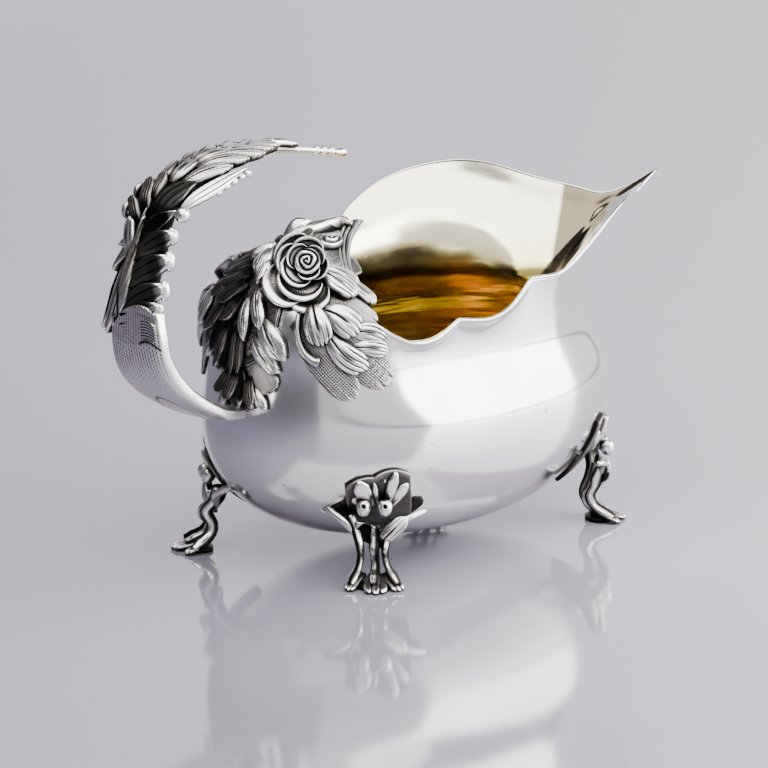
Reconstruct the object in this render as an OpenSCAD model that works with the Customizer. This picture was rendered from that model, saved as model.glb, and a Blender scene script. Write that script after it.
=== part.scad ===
// Footed sauce boat: raised bowl with a gilt inside, cast floral hood,
// flying acanthus handle and four cabriole legs. +X points to the spout.

/* [Bowl] */
// Half length of the belly
belly_a = 68; // [64:1:72]
// Half width of the belly
belly_b = 44; // [41:1:46]
// Distance of the belly's centre in front of the legs' centre
belly_x = 3; // [0:0.5:5]
// Height of the underside above the table
base_z = 3.6; // [3:0.1:8]
// Height of the widest line of the belly
belly_z = 40; // [38:1:42]
// Height of the waist under the flared lip
waist_z = 59; // [57:1:60]
// Waist size as a share of the belly, at the spout and sides
waist_ratio = 0.88; // [0.84:0.01:0.92]
// Waist size as a share of the belly, under the hood
rear_ratio = 0.98; // [0.94:0.01:1]
// Thickness of the silver wall
wall = 1.4; // [1:0.1:1.8]
// Thickness of the gilt lining
gilt = 0.4; // [0.3:0.1:0.6]
// Height of the wire around the rim, as a share of the lip
rim_share = 0.05; // [0.03:0.01:0.08]
// Thickness of the wire around the rim
rim_wire_t = 0.8; // [0.5:0.1:1.2]

/* [Handle] */
// Width of the flat strap
strap_w = 16.5; // [14:0.5:18]
// Thickness of the strap
strap_t = 4.6; // [3.5:0.1:5]

/* [Mounts] */
// Relief of the cast foliage over the hood
relief = 3.2; // [2:0.2:4]
// Solder line between the bowl and the castings
solder = 0.2; // [0.15:0.05:0.4]
// Radius of the full-blown rose
rose_r = 10; // [8:0.5:11]

/* [Legs] */
// Distance of the legs' contact centres from the middle, along X
leg_x = 47.7; // [45:0.1:50]
// Distance of the legs' contact centres from the middle, along Y
leg_y = 30.9; // [29:0.1:33]
// Radius of the flat under each leg
pad_r = 3.6; // [3:0.1:4]
// Radius of the berries above each knee
berry_r = 2.1; // [1.6:0.1:2.4]

/* [Hidden] */

silver = [0.78, 0.78, 0.80];
dark_silver = [0.50, 0.50, 0.52];
gold = [0.95, 0.75, 0.35];

// Share of the wall's run at which the belly and the waist lie
belly_v = 0.68;
// Fullness of the belly's lower curve, 2 being an ellipse
fullness = 2.32;
// Fullness of the hood's curve
hood_fullness = 2.6;

// The rim, tip to hood, in runs that meet at inward cusps: angle, x, half width, z
rim_runs = [
    [[0, 114.5, 0, 86.3], [3, 104, 2.2, 82.6], [6, 95, 5, 81.2], [9, 89.5, 9.7, 83],
     [16, 81, 17, 86], [26, 69, 29, 91], [38, 56, 36, 91.6], [52, 41, 41, 88.6],
     [66, 28, 43, 82.3], [76, 18, 41.6, 76], [86, 7, 39.5, 75.6]],
    [[86, 7, 39.5, 75.6], [95, -3, 41, 69.8], [104, -13, 41.4, 67.6], [112, -22, 38.5, 68.5]],
    [[112, -22, 38.5, 68.5], [120, -30, 37, 64.2], [127, -37, 34.5, 64], [133, -42, 31, 67]],
    [[133, -42, 31, 67], [142, -43.5, 26, 71.5], [152, -41, 20, 77], [162, -35.5, 12.6, 82.2],
     [171, -28, 6.6, 86.3], [180, -15.5, 0, 89.3]]
];
run_ends = [86, 112, 133, 180];

// Angles of the bowl's facets from the spout's tip to the hood's middle
half_angles = [0, 3, 6, 9, 13, 18, 24, 31, 38, 45, 52, 59, 66, 71, 76, 81, 86, 91, 97, 104,
               108, 112, 116, 121, 127, 133, 139, 146, 153, 160, 167, 173, 180];
angles = [for (i = [0:len(half_angles) - 1]) half_angles[i],
          for (i = [len(half_angles) - 2:-1:1]) -half_angles[i]];
levels = [0.12, 0.24, 0.36, 0.47, 0.58, 0.68, 0.79, 0.9, 1, 1.14, 1.3, 1.46, 1.62, 1.78,
          2 - rim_share, 2];

// The shapes are laid out from the middle of the legs; the origin is under the middle of the length
length_middle = 3.45;
module placed() {
    translate([-length_middle, 0, 0]) children();
}

function clamp01(x) = min(1, max(0, x));
function ease(x) = let (c = clamp01(x)) c * c * (3 - 2 * c);
function mix(a, b, s) = a + (b - a) * s;
function unit(v) = v / norm(v);

// Smooth curve through the keys [t, x, y, z] at t
function key_slope(keys, i) =
    let (a = max(0, i - 1), b = min(len(keys) - 1, i + 1))
    [for (k = [1:3]) (keys[b][k] - keys[a][k]) / (keys[b][0] - keys[a][0])];
function key_xyz(keys, i) = [keys[i][1], keys[i][2], keys[i][3]];
function key_index(keys, t, i = 0) =
    i >= len(keys) - 2 || t < keys[i + 1][0] ? i : key_index(keys, t, i + 1);
function key_curve(keys, t) =
    let (
        i = key_index(keys, t),
        h = keys[i + 1][0] - keys[i][0],
        s = (t - keys[i][0]) / h
    )
    key_xyz(keys, i) * (2 * pow(s, 3) - 3 * pow(s, 2) + 1)
    + key_slope(keys, i) * h * (pow(s, 3) - 2 * pow(s, 2) + s)
    + key_xyz(keys, i + 1) * (3 * pow(s, 2) - 2 * pow(s, 3))
    + key_slope(keys, i + 1) * h * (pow(s, 3) - pow(s, 2));

// Rim point at angle t, mirrored for negative angles
function rim(t) =
    let (
        side = t < 0 ? -1 : 1,
        a = abs(t),
        k = a <= run_ends[0] ? 0 : a <= run_ends[1] ? 1 : a <= run_ends[2] ? 2 : 3,
        p = key_curve(rim_runs[k], a)
    )
    [p.x, side * max(0, p.y), p.z];

// Lower bowl: base to waist
function waist_share(t) = mix(waist_ratio, rear_ratio, ease((abs(t) - 105) / 50));
function lower(t, v) =
    let (
        q = 90 * clamp01(v / belly_v),
        up = clamp01((v - belly_v) / (1 - belly_v)),
        rho = v < belly_v ? pow(sin(q), 2 / fullness) : 1 - (1 - waist_share(t)) * ease(up),
        z = v < belly_v
            ? belly_z - (belly_z - base_z) * pow(cos(q), 2 / fullness)
            : mix(belly_z, waist_z, up)
    )
    [belly_x + rho * belly_a * cos(t), rho * belly_b * sin(t), z];

// Upper bowl: a lip that flares to the rim, turning into a hood at the back
function flare(t) = 1.3 + 1.5 * ease((abs(t) - 4) / 26);
function upper(t, s) =
    let (
        w = lower(t, 1),
        r = rim(t),
        hood = ease((abs(t) - 128) / 24),
        out_lip = pow(s, flare(t)),
        out_hood = 1 - pow(cos(90 * s), 2 / hood_fullness),
        up_hood = pow(sin(90 * s), 2 / hood_fullness),
        g = mix(out_lip, out_hood, hood),
        up = mix(s, up_hood, hood)
    )
    [mix(w.x, r.x, g), mix(w.y, r.y, g), mix(w.z, r.z, up)];
function skin(t, v) = v <= 1 ? lower(t, v) : upper(t, min(1, v - 1));

// Outward direction of the skin
function wrap(t) = t > 180 ? t - 360 : t < -180 ? t + 360 : t;
function skin_out(t, v) =
    v < 0.02 ? [0, 0, -1] :
    let (
        a = max(0.01, v - 0.02),
        b = min(1.995, v + 0.02),
        along = skin(wrap(t + 1), min(v, 1.995)) - skin(wrap(t - 1), min(v, 1.995)),
        rise = skin(t, b) - skin(t, a)
    )
    unit(cross(along, rise));
// The wall thins where the spout closes to a point
function thin(p) = clamp01(0.25 + 0.24 * abs(p.y) + max(0, (88 - p.x) * 0.08));
function inside(t, v, d) = let (p = skin(t, v)) p - skin_out(t, v) * d * thin(p);
function outside(t, v, d) = skin(t, v) + skin_out(t, v) * d;

// Triangles of a grid of rows and columns, clockwise from outside
function quad(a, b, c, d) = [[a, b, c], [a, c, d]];
function flip(tris) = [for (f = tris) [f[2], f[1], f[0]]];
function grid_tris(rows, cols, first, closed) = [
    for (i = [0:rows - 2], j = [0:cols - (closed ? 1 : 2)])
        let (k = (j + 1) % cols, a = first + i * cols, b = a + cols)
        each quad(a + j, b + j, b + k, a + k)
];

// Closed shell between two depths under the skin, from the bottom's middle to the rim
module bowl_shell(outer_depth, inner_depth) {
    m = len(angles);
    n = len(levels);
    skins = [for (d = [outer_depth, inner_depth]) each [for (v = levels, t = angles) inside(t, v, d)]];
    poles = [for (d = [outer_depth, inner_depth]) [belly_x, 0, base_z + d]];
    fan = [for (j = [0:m - 1]) [2 * n * m, j, (j + 1) % m]];
    inner_fan = [for (j = [0:m - 1]) [2 * n * m + 1, n * m + (j + 1) % m, n * m + j]];
    top = (n - 1) * m;
    lip = [
        for (j = [0:m - 1])
            let (k = (j + 1) % m)
            each quad(top + j, n * m + top + j, n * m + top + k, top + k)
    ];
    faces = concat(
        grid_tris(n, m, 0, true), flip(grid_tris(n, m, n * m, true)), fan, inner_fan, lip
    );
    polyhedron(concat(skins, poles), faces);
}

// Closed plate that stands on the skin between angles t0 and t1 and levels lo and hi. Its lower
// edge is cut into lobes of the given depth, and its top is highest between its two ends
module skin_plate(t0, t1, lo, hi, lobes, depth, t_relief, steps = 16, rows = 9) {
    m = steps + 1;
    function scallop(u) = abs(sin(180 * lobes * u));
    function at(i, j, d) =
        let (
            u = j / steps,
            w = i / (rows - 1),
            edge = pow(sin(180 * mix(0.03, 0.97, u)), 0.4),
            v = mix(mix((lo + hi) / 2, lo, edge) - depth * scallop(u) * edge, hi, w)
        )
        outside(wrap(mix(t0, t1, u)), v, d);
    top = [
        for (i = [0:rows - 1], j = [0:steps])
            at(i, j, solder + t_relief * (0.45 + 0.55 * sin(180 * i / (rows - 1))
                * (0.6 + 0.4 * scallop(j / steps))))
    ];
    under = [for (i = [0:rows - 1], j = [0:steps]) at(i, j, solder)];
    o = rows * m;
    last = (rows - 1) * m;
    sides = [
        for (j = [0:steps - 1]) each concat(
            quad(j, j + 1, o + j + 1, o + j),
            quad(last + j + 1, last + j, o + last + j, o + last + j + 1)
        ),
        for (i = [0:rows - 2]) each concat(
            quad((i + 1) * m, i * m, o + i * m, o + (i + 1) * m),
            quad(i * m + steps, (i + 1) * m + steps, o + (i + 1) * m + steps, o + i * m + steps)
        )
    ];
    polyhedron(
        concat(top, under),
        concat(grid_tris(rows, m, 0, false), flip(grid_tris(rows, m, o, false)), sides)
    );
}

// Closed solid through rings of equal length, each anticlockwise seen from the last one
module skin_rings(rings) {
    n = len(rings);
    k = len(rings[0]);
    ends = [
        for (j = [1:k - 2]) each [[0, j, j + 1], [(n - 1) * k, (n - 1) * k + j + 1, (n - 1) * k + j]]
    ];
    polyhedron([for (r = rings) each r], concat(grid_tris(n, k, 0, true), ends));
}

// Tube through [x, y, z, radius] points, round about its own path
module tube(points, sides = 8) {
    last = len(points) - 1;
    function xyz(i) = [points[i][0], points[i][1], points[i][2]];
    rings = [
        for (i = [0:last])
            let (
                along = unit(xyz(min(last, i + 1)) - xyz(max(0, i - 1))),
                side = unit(cross(along, abs(along.z) > 0.9 ? [1, 0, 0] : [0, 0, 1])),
                up = cross(side, along)
            )
            [for (j = [0:sides - 1]) xyz(i) + points[i][3] * (side * cos(-360 * j / sides)
                + up * sin(-360 * j / sides))]
    ];
    skin_rings(rings);
}

module bowl() {
    color(silver) placed() bowl_shell(0, wall);
}

module gilt_lining() {
    color(gold) placed() bowl_shell(wall, wall + gilt);
}

// Half-round wire on the outside of the lip: it shares the lip's top band of facets
module rim_wire() {
    m = len(angles);
    rows = [
        for (t = angles)
            let (
                top = inside(t, 2, 0),
                foot = inside(t, 2 - rim_share, 0),
                reach = rim_wire_t * thin(top)
            )
            [foot, foot + skin_out(t, 2 - rim_share) * reach * 0.7,
             mix(foot, top, 0.6) + skin_out(t, 2) * reach, top]
    ];
    corners = len(rows[0]);
    pts = [for (c = [0:corners - 1], j = [0:m - 1]) rows[j][c]];
    closing = [
        for (j = [0:m - 1])
            let (k = (j + 1) % m, a = (corners - 1) * m)
            each quad(j, k, a + k, a + j)
    ];
    color(silver) placed() polyhedron(pts, concat(grid_tris(corners, m, 0, true), closing));
}

// Handle centreline: place along it, x, z, share of the strap's half width
handle_keys = [
    [0, -67.6, 46, 0.5], [1, -80.5, 49, 1.06], [2, -95.2, 57.6, 1.2], [3, -104.2, 69.8, 1.12],
    [4, -104.2, 81.1, 1.04], [5, -99.5, 93.3, 1.02], [6, -94, 104.5, 1], [7, -79.7, 111.2, 1.06],
    [8, -65, 113.4, 1.02], [9, -54.9, 113.6, 0.7], [10, -41.2, 111.5, 0.34], [11, -23.3, 108.4, 0.12]
];
// Places along the handle where each piece ends
strap_end = 3.75;
acanthus_end = 6;
spray_end = 9;
tip_end = 11;
// Thickness of the cast part and of its very tip, as shares of the strap's thickness
cast_share = 1.05;
tip_share = 0.3;
// Squareness of the handle's faces and edges, 1 being an ellipse and 0 a box
face_square = 0.6;
edge_square = 0.5;
// How far the leaf lobes stand out along the edges, as shares of the half width
acanthus_lobe = 0.22;
spray_lobe = 0.26;
// Steps between the rings of the plain and of the lobed parts
plain_step = 0.25;
lobed_step = 0.125;
function tip_run(s) = (s - spray_end) / (tip_end - spray_end);
function handle_thickness(s) =
    strap_t * (s < strap_end ? 1 : s < spray_end ? cast_share : mix(cast_share, tip_share, tip_run(s)));
function handle_centre(s) = let (p = key_curve(handle_keys, s)) [p.x, 0, p.y];
// Leaf lobes stand out along the edges of the cast part
function handle_half(s, lobe) =
    strap_w / 2 * key_curve(handle_keys, s).z * (1 + lobe * (abs(sin(540 * s)) - 0.5));
function handle_ring(s, lobe, sides = 12) =
    let (
        c = handle_centre(s),
        along = unit(handle_centre(min(tip_end, s + 0.05)) - handle_centre(max(0, s - 0.05))),
        over = cross([0, 1, 0], along),
        half_w = handle_half(s, lobe),
        half_t = handle_thickness(s) / 2
    )
    [for (j = [0:sides - 1])
        let (a = 360 * j / sides, cs = cos(a), sn = sin(a))
        c + over * half_t * sign(cs) * pow(abs(cs), face_square)
        + [0, 1, 0] * half_w * sign(sn) * pow(abs(sn), edge_square)];
module handle_piece(s0, s1, step, lobe) {
    skin_rings([for (i = [0:round((s1 - s0) / step)]) handle_ring(s0 + i * step, lobe)]);
}

module handle_strap() {
    color(silver) placed() handle_piece(0, strap_end, plain_step, 0);
}

module handle_acanthus() {
    color(dark_silver) placed() handle_piece(strap_end, acanthus_end, lobed_step, acanthus_lobe);
}

module handle_leaf_spray() {
    color(dark_silver) placed() handle_piece(acanthus_end, spray_end, lobed_step, spray_lobe);
}

module handle_tip() {
    color(dark_silver) placed() handle_piece(spray_end, tip_end, plain_step, 0);
}

// Leaf that covers the solder joint of the strap
module handle_root_leaf() {
    color(dark_silver) placed() skin_plate(168, 192, 0.87, 0.98, 3, 0.02, relief);
}

module mount_right() {
    color(dark_silver) placed() skin_plate(-166, -128, 0.86, 1.9, 5, 0.1, relief, 20, 10);
}

module mount_left() {
    color(dark_silver) placed() mirror([0, 1, 0]) skin_plate(-166, -128, 0.86, 1.9, 5, 0.1, relief, 20, 10);
}

module rear_plume() {
    color(dark_silver) placed() skin_plate(168, 192, 1, 1.72, 4, 0.03, relief * 1.3);
}

// Leaf group on the front of the hood
module hood_crest() {
    color(dark_silver) placed() skin_plate(167, 193, 1.76, 1.92, 3, 0.03, relief);
}

// Where the rose's back sits, its compass turn and its lift above level
rose_at = [-54.3, -14, 85];
rose_turn = 219;
rose_lift = 20;

// Full-blown rose: layered petals round a bud
module rose() {
    depth = rose_r * 0.55;
    petals = 5;
    color(dark_silver) placed() translate(rose_at) rotate([0, 90 - rose_lift, rose_turn]) {
        rotate_extrude($fn = 48)
            polygon([
                [0, 0], [rose_r * 0.62, 0], [rose_r * 0.78, depth * 0.35], [rose_r * 0.6, depth * 0.5],
                [rose_r * 0.64, depth * 0.8], [rose_r * 0.42, depth * 0.62], [rose_r * 0.44, depth],
                [rose_r * 0.22, depth * 0.8], [rose_r * 0.2, depth * 1.1], [0, depth * 1.15]
            ]);
        for (i = [0:petals - 1])
            rotate([0, 0, 360 * i / petals])
                translate([rose_r * 0.66, 0, depth * 0.1])
                    cylinder(r = rose_r * 0.34, h = depth * 0.3, $fn = 32);
    }
}

// Pointed leaf along points [x, y, z, half width], spread sideways along "across"
module leaf(points, across, t = 1.4) {
    last = len(points) - 1;
    function xyz(i) = [points[i][0], points[i][1], points[i][2]];
    rings = [
        for (i = [0:last])
            let (
                along = unit(xyz(min(last, i + 1)) - xyz(max(0, i - 1))),
                up = unit(cross(along, across)),
                side = cross(up, along),
                w = points[i][3]
            )
            [xyz(i) + side * w, xyz(i) + up * t / 2 + side * w * 0.3, xyz(i) + up * t / 4,
             xyz(i) + up * t / 2 - side * w * 0.3, xyz(i) - side * w, xyz(i) - up * t / 2]
    ];
    skin_rings(rings);
}

// Pair of leaves that reach from the hood over the open bowl
module rim_leaf_pair(side) {
    color(dark_silver) placed() {
        leaf([[-45, side * 26, 79, 1], [-41, side * 26, 79.4, 3.4], [-36, side * 26.2, 78.4, 3.8],
              [-32, side * 26.5, 76.8, 2.4], [-29.5, side * 26.8, 75.6, 0.4]], [0.2, side, 0.7]);
        leaf([[-47, side * 30, 73, 1], [-43, side * 31.6, 73.4, 3.4], [-38, side * 33, 72.6, 3.8],
              [-33.5, side * 34.4, 71, 2.4], [-31, side * 35, 69.9, 0.4]], [0.2, side, 0.7]);
    }
}

module rim_leaves_right() {
    rim_leaf_pair(-1);
}

module rim_leaves_left() {
    rim_leaf_pair(1);
}

// Angle on the bowl above the leg at the signs [sx, sy]
function leg_angle(sx, sy) = atan2(sy * leg_y / belly_b, (sx * leg_x - belly_x) / belly_a);
function leg_foot(sx, sy) = [sx * leg_x, sy * leg_y, 0];
function leg_out(sx, sy) = unit([sx * leg_x, sy * leg_y * 1.25, 0]);
// Levels on the skin of the knee and of the berries
knee_level = 0.47;
berry_level = 0.505;
// Levels of the leg leaf's ends, and half its spread in degrees
leg_leaf_lo = 0.33;
leg_leaf_hi = 0.6;
leg_leaf_spread = 13;
leg_leaf_relief = 1.8;
// Turns a leg's own plane (out, across, up) into the part's frame
module at_leg(sx, sy) {
    out = leg_out(sx, sy);
    translate(leg_foot(sx, sy)) rotate([0, 0, atan2(out.y, out.x)]) children();
}
// How far out the knee stands from the foot's centre, to meet the bowl
function knee_reach(sx, sy) =
    (outside(leg_angle(sx, sy), knee_level, leg_leaf_relief + solder) - leg_foot(sx, sy))
    * leg_out(sx, sy) + 2.2;

// One cabriole leg: three stems that join above leaf-shaped toes
module leg(sx, sy) {
    knee = knee_reach(sx, sy);
    color(dark_silver) placed() at_leg(sx, sy) {
        for (side = [-1, 0, 1])
            tube([
                [5.2 - abs(side), side * 4.2, 1.2, 1.1], [1.6, side * 2.4, 2.4, 1.7],
                [-2.2, side * 1.7, 6, 1.5], [-3, side * 2, 10, 1.4],
                [mix(-3, knee, 0.6), side * 3.8, 14.5, 1.7], [knee, side * 4.6, 18, 1.8],
                [knee - 0.2, side * 3.4, 20.4, 1.2]
            ]);
        cylinder(r = pad_r, h = 2.2, $fn = 32);
        for (side = [-1, 0, 1])
            rotate([0, 0, side * 34]) translate([4.4, 0, 0]) cylinder(r = 1.9, h = 1.6, $fn = 24);
    }
}

// Leaf mount that spreads from the knee over the bowl
module leg_leaf(sx, sy) {
    t = leg_angle(sx, sy);
    color(dark_silver) placed()
        skin_plate(t - leg_leaf_spread, t + leg_leaf_spread, leg_leaf_lo, leg_leaf_hi,
            3, 0.02, leg_leaf_relief, 14, 7);
}

// Half the gap between the two berries of a pair
berry_gap = 0.7;
// How far the berries sit out and up, and the size of their holes, as shares of their radius
berry_out = 0.46;
berry_up = 0.5;
berry_hole_r = 0.3;
berry_hole_start = 0.4;

// Two drilled berries on the knee
module berries(sx, sy) {
    p = outside(leg_angle(sx, sy), berry_level, leg_leaf_relief + solder * 2 + berry_r);
    reach = (p - leg_foot(sx, sy)) * leg_out(sx, sy);
    color(silver) placed() at_leg(sx, sy)
        for (side = [-1, 1])
            translate([reach + berry_r * berry_out, side * (berry_r + berry_gap), p.z + berry_r * berry_up])
                difference() {
                    sphere(r = berry_r, $fn = 32);
                    translate([berry_r * berry_hole_start, 0, 0]) rotate([0, 90, 0])
                        cylinder(r = berry_r * berry_hole_r, h = berry_r, $fn = 24);
                }
}

module leg_rear_right() {
    leg(-1, -1);
}
module leg_rear_left() {
    leg(-1, 1);
}
module leg_front_right() {
    leg(1, -1);
}
module leg_front_left() {
    leg(1, 1);
}
module leg_leaf_rear_right() {
    leg_leaf(-1, -1);
}
module leg_leaf_rear_left() {
    leg_leaf(-1, 1);
}
module leg_leaf_front_right() {
    leg_leaf(1, -1);
}
module leg_leaf_front_left() {
    leg_leaf(1, 1);
}
module berries_rear_right() {
    berries(-1, -1);
}
module berries_rear_left() {
    berries(-1, 1);
}
module berries_front_right() {
    berries(1, -1);
}
module berries_front_left() {
    berries(1, 1);
}

bowl();
gilt_lining();
rim_wire();
handle_strap();
handle_acanthus();
handle_leaf_spray();
handle_tip();
handle_root_leaf();
mount_right();
mount_left();
rear_plume();
hood_crest();
rose();
rim_leaves_right();
rim_leaves_left();
leg_rear_right();
leg_rear_left();
leg_front_right();
leg_front_left();
leg_leaf_rear_right();
leg_leaf_rear_left();
leg_leaf_front_right();
leg_leaf_front_left();
berries_rear_right();
berries_rear_left();
berries_front_right();
berries_front_left();
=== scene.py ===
import math
import bpy
import numpy as np
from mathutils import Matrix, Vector


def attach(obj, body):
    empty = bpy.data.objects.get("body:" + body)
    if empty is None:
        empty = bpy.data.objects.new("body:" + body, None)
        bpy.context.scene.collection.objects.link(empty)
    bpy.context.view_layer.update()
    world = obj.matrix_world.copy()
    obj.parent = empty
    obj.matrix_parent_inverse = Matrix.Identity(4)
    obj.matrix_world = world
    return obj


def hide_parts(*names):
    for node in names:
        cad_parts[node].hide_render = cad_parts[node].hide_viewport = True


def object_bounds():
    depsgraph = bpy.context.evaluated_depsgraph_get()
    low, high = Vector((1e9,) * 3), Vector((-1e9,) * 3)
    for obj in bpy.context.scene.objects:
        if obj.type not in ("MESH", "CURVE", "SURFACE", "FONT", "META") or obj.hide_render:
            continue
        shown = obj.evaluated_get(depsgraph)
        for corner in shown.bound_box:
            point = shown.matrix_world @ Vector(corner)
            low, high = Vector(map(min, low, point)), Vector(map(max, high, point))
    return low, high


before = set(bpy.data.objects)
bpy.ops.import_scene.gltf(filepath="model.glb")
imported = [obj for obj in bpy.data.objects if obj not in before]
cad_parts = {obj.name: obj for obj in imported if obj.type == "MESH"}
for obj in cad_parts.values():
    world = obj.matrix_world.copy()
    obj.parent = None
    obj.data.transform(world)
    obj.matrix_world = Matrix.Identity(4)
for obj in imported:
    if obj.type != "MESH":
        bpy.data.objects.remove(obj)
CAD_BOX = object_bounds()

PI, TAU = math.pi, math.tau
MM = 0.001
# Every point stays this far inside the CAD box.
BOX_GAP = 0.02 * MM
# The shapes are laid out from the middle of the legs, which is this far ahead of the origin.
LENGTH_MIDDLE = 3.45

# ---- bowl dimensions, in mm
BELLY_A, BELLY_B, BELLY_X = 68, 44, 3
BASE_Z, BELLY_Z, WAIST_Z = 3.6, 40, 59
WAIST_RATIO, REAR_RATIO = 0.88, 0.98
WALL, GILT = 1.4, 0.4
BELLY_V, FULLNESS, HOOD_FULLNESS = 0.68, 2.32, 2.6
# The rear waist and the hood each set in over this many degrees, from this angle off the spout.
REAR_FROM, REAR_SPAN = 105, 50
HOOD_FROM, HOOD_SPAN = 128, 24
# The wall tapers to this share of its thickness at the lip.
LIP_SHARE = 0.4
# No level above this one is used for a normal, since the rim ends at level 2.
LAST_LEVEL = 1.98

# The rim, tip to hood, in runs that meet at inward cusps: angle, x, half width, z.
RIM_RUNS = [
    [[0, 114.5, 0, 86.3], [3, 104, 2.2, 82.6], [6, 95, 5, 81.2], [9, 89.5, 9.7, 83],
     [16, 81, 17, 86], [26, 69, 29, 91], [38, 56, 36, 91.6], [52, 41, 41, 88.6],
     [66, 28, 43, 82.3], [76, 18, 41.6, 76], [86, 7, 39.5, 75.6]],
    [[86, 7, 39.5, 75.6], [95, -3, 41, 69.8], [104, -13, 41.4, 67.6], [112, -22, 38.5, 68.5]],
    [[112, -22, 38.5, 68.5], [120, -30, 37, 64.2], [127, -37, 34.5, 64], [133, -42, 31, 67]],
    [[133, -42, 31, 67], [142, -43.5, 26, 71.5], [152, -41, 20, 77], [162, -35.5, 12.6, 82.2],
     [171, -28, 6.6, 86.3], [180, -15.5, 0, 89.3]],
]


def ease(x):
    """A smooth step from 0 to 1."""
    x = np.clip(x, 0, 1)
    return x * x * (3 - 2 * x)


def mix(a, b, s):
    """From a to b by share s."""
    return a + (b - a) * s


def key_curve(keys, t):
    """A smooth curve through rows [t, values...], at each t."""
    keys = np.array(keys, float)
    times, points = keys[:, 0], keys[:, 1:]
    count = len(times)
    before = np.maximum(np.arange(count) - 1, 0)
    after = np.minimum(np.arange(count) + 1, count - 1)
    slopes = (points[after] - points[before]) / (times[after] - times[before])[:, None]
    i = np.clip(np.searchsorted(times, t, side="right") - 1, 0, count - 2)
    h = (times[i + 1] - times[i])[:, None]
    s = ((t - times[i]) / h[:, 0])[:, None]
    return (
        points[i] * (2 * s**3 - 3 * s**2 + 1)
        + slopes[i] * h * (s**3 - 2 * s**2 + s)
        + points[i + 1] * (3 * s**2 - 2 * s**3)
        + slopes[i + 1] * h * (s**3 - s**2)
    )


def rim(t):
    """The rim's edge at each angle t, the same on both sides."""
    t = (np.asarray(t, float) + 180) % 360 - 180
    angle = np.abs(t)
    out = np.zeros(t.shape + (3,))
    for keys in RIM_RUNS:
        here = (angle >= keys[0][0]) & (angle <= keys[-1][0])
        out[here] = key_curve(keys, angle[here])
    out[..., 1] = np.maximum(out[..., 1], 0) * np.where(t < 0, -1, 1)
    return out


def lower(t, v):
    """Base to waist, at angle t and level v from 0 to 1."""
    turn = np.radians(t)
    q = np.clip(v / BELLY_V, 0, 1) * PI / 2
    up = np.clip((v - BELLY_V) / (1 - BELLY_V), 0, 1)
    away = np.abs((t + 180) % 360 - 180)
    waist = mix(WAIST_RATIO, REAR_RATIO, ease((away - REAR_FROM) / REAR_SPAN))
    low = v < BELLY_V
    rho = np.where(low, np.sin(q) ** (2 / FULLNESS), 1 - (1 - waist) * ease(up))
    z_low = BELLY_Z - (BELLY_Z - BASE_Z) * np.maximum(np.cos(q), 0) ** (2 / FULLNESS)
    z = np.where(low, z_low, mix(BELLY_Z, WAIST_Z, up))
    return np.stack([BELLY_X + rho * BELLY_A * np.cos(turn), rho * BELLY_B * np.sin(turn), z], -1)


def upper(t, s):
    """Waist to rim: a flared lip that turns into a hood at the back."""
    away = np.abs((t + 180) % 360 - 180)
    low, high = lower(t, np.ones_like(t)), rim(t)
    hood = ease((away - HOOD_FROM) / HOOD_SPAN)
    flare = 1.3 + 1.5 * ease((away - 4) / 26)
    turn = np.clip(s, 0, 1) * PI / 2
    g = mix(s**flare, 1 - np.maximum(np.cos(turn), 0) ** (2 / HOOD_FULLNESS), hood)
    up = mix(s, np.sin(turn) ** (2 / HOOD_FULLNESS), hood)
    return np.stack(
        [mix(low[..., 0], high[..., 0], g), mix(low[..., 1], high[..., 1], g),
         mix(low[..., 2], high[..., 2], up)], -1)


def skin(t, v):
    """The bowl's outer skin; past level 2 it runs straight on beyond the rim."""
    t, v = np.broadcast_arrays(np.asarray(t, float), np.asarray(v, float))
    s = np.clip(v - 1, 0, 1)
    p = np.where((v <= 1)[..., None], lower(t, np.clip(v, 0, 1)), upper(t, s))
    over = np.maximum(v - 2, 0)[..., None]
    if over.any():
        edge = upper(t, np.ones_like(t)) - upper(t, np.full_like(t, 0.96))
        p = p + edge * over / 0.04
    return p


def bell(x, width):
    """1 at 0, falling away on both sides."""
    return np.exp(-((x / width) ** 2))


def unit(v):
    """Each vector at length 1."""
    return v / np.maximum(np.linalg.norm(v, axis=-1, keepdims=True), 1e-9)


def skin_out(t, v):
    """The outward normal of the skin; straight down in the middle of the base."""
    t, v = np.broadcast_arrays(np.asarray(t, float), np.asarray(v, float))
    a, b = np.clip(v - 0.02, 0.01, None), np.clip(v + 0.02, None, 1.995)
    b = np.maximum(b, a + 0.01)
    level = np.clip(v, 0.02, 1.995)
    along = skin(t + 0.7, level) - skin(t - 0.7, level)
    n = unit(np.cross(along, skin(t, b) - skin(t, a)))
    return np.where((v < 0.02)[..., None], np.array([0, 0, -1]), n)


def thin(p):
    """The wall thins where the spout closes to a point."""
    return np.clip(0.25 + 0.24 * np.abs(p[..., 1]) + np.maximum(0, (88 - p[..., 0]) * 0.08), 0, 1)


def inside(t, v, depth):
    """A point that deep in the wall, which tapers to its thin lip."""
    p = skin(t, v)
    taper = 1 - (1 - LIP_SHARE) * ease((v - 1.75) / 0.25)
    return p - skin_out(t, v) * (depth * taper * thin(p))[..., None]


# ---- meshes
def link(name, data):
    """A new object in the scene."""
    obj = bpy.data.objects.new(name, data)
    bpy.context.scene.collection.objects.link(obj)
    return obj


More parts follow.
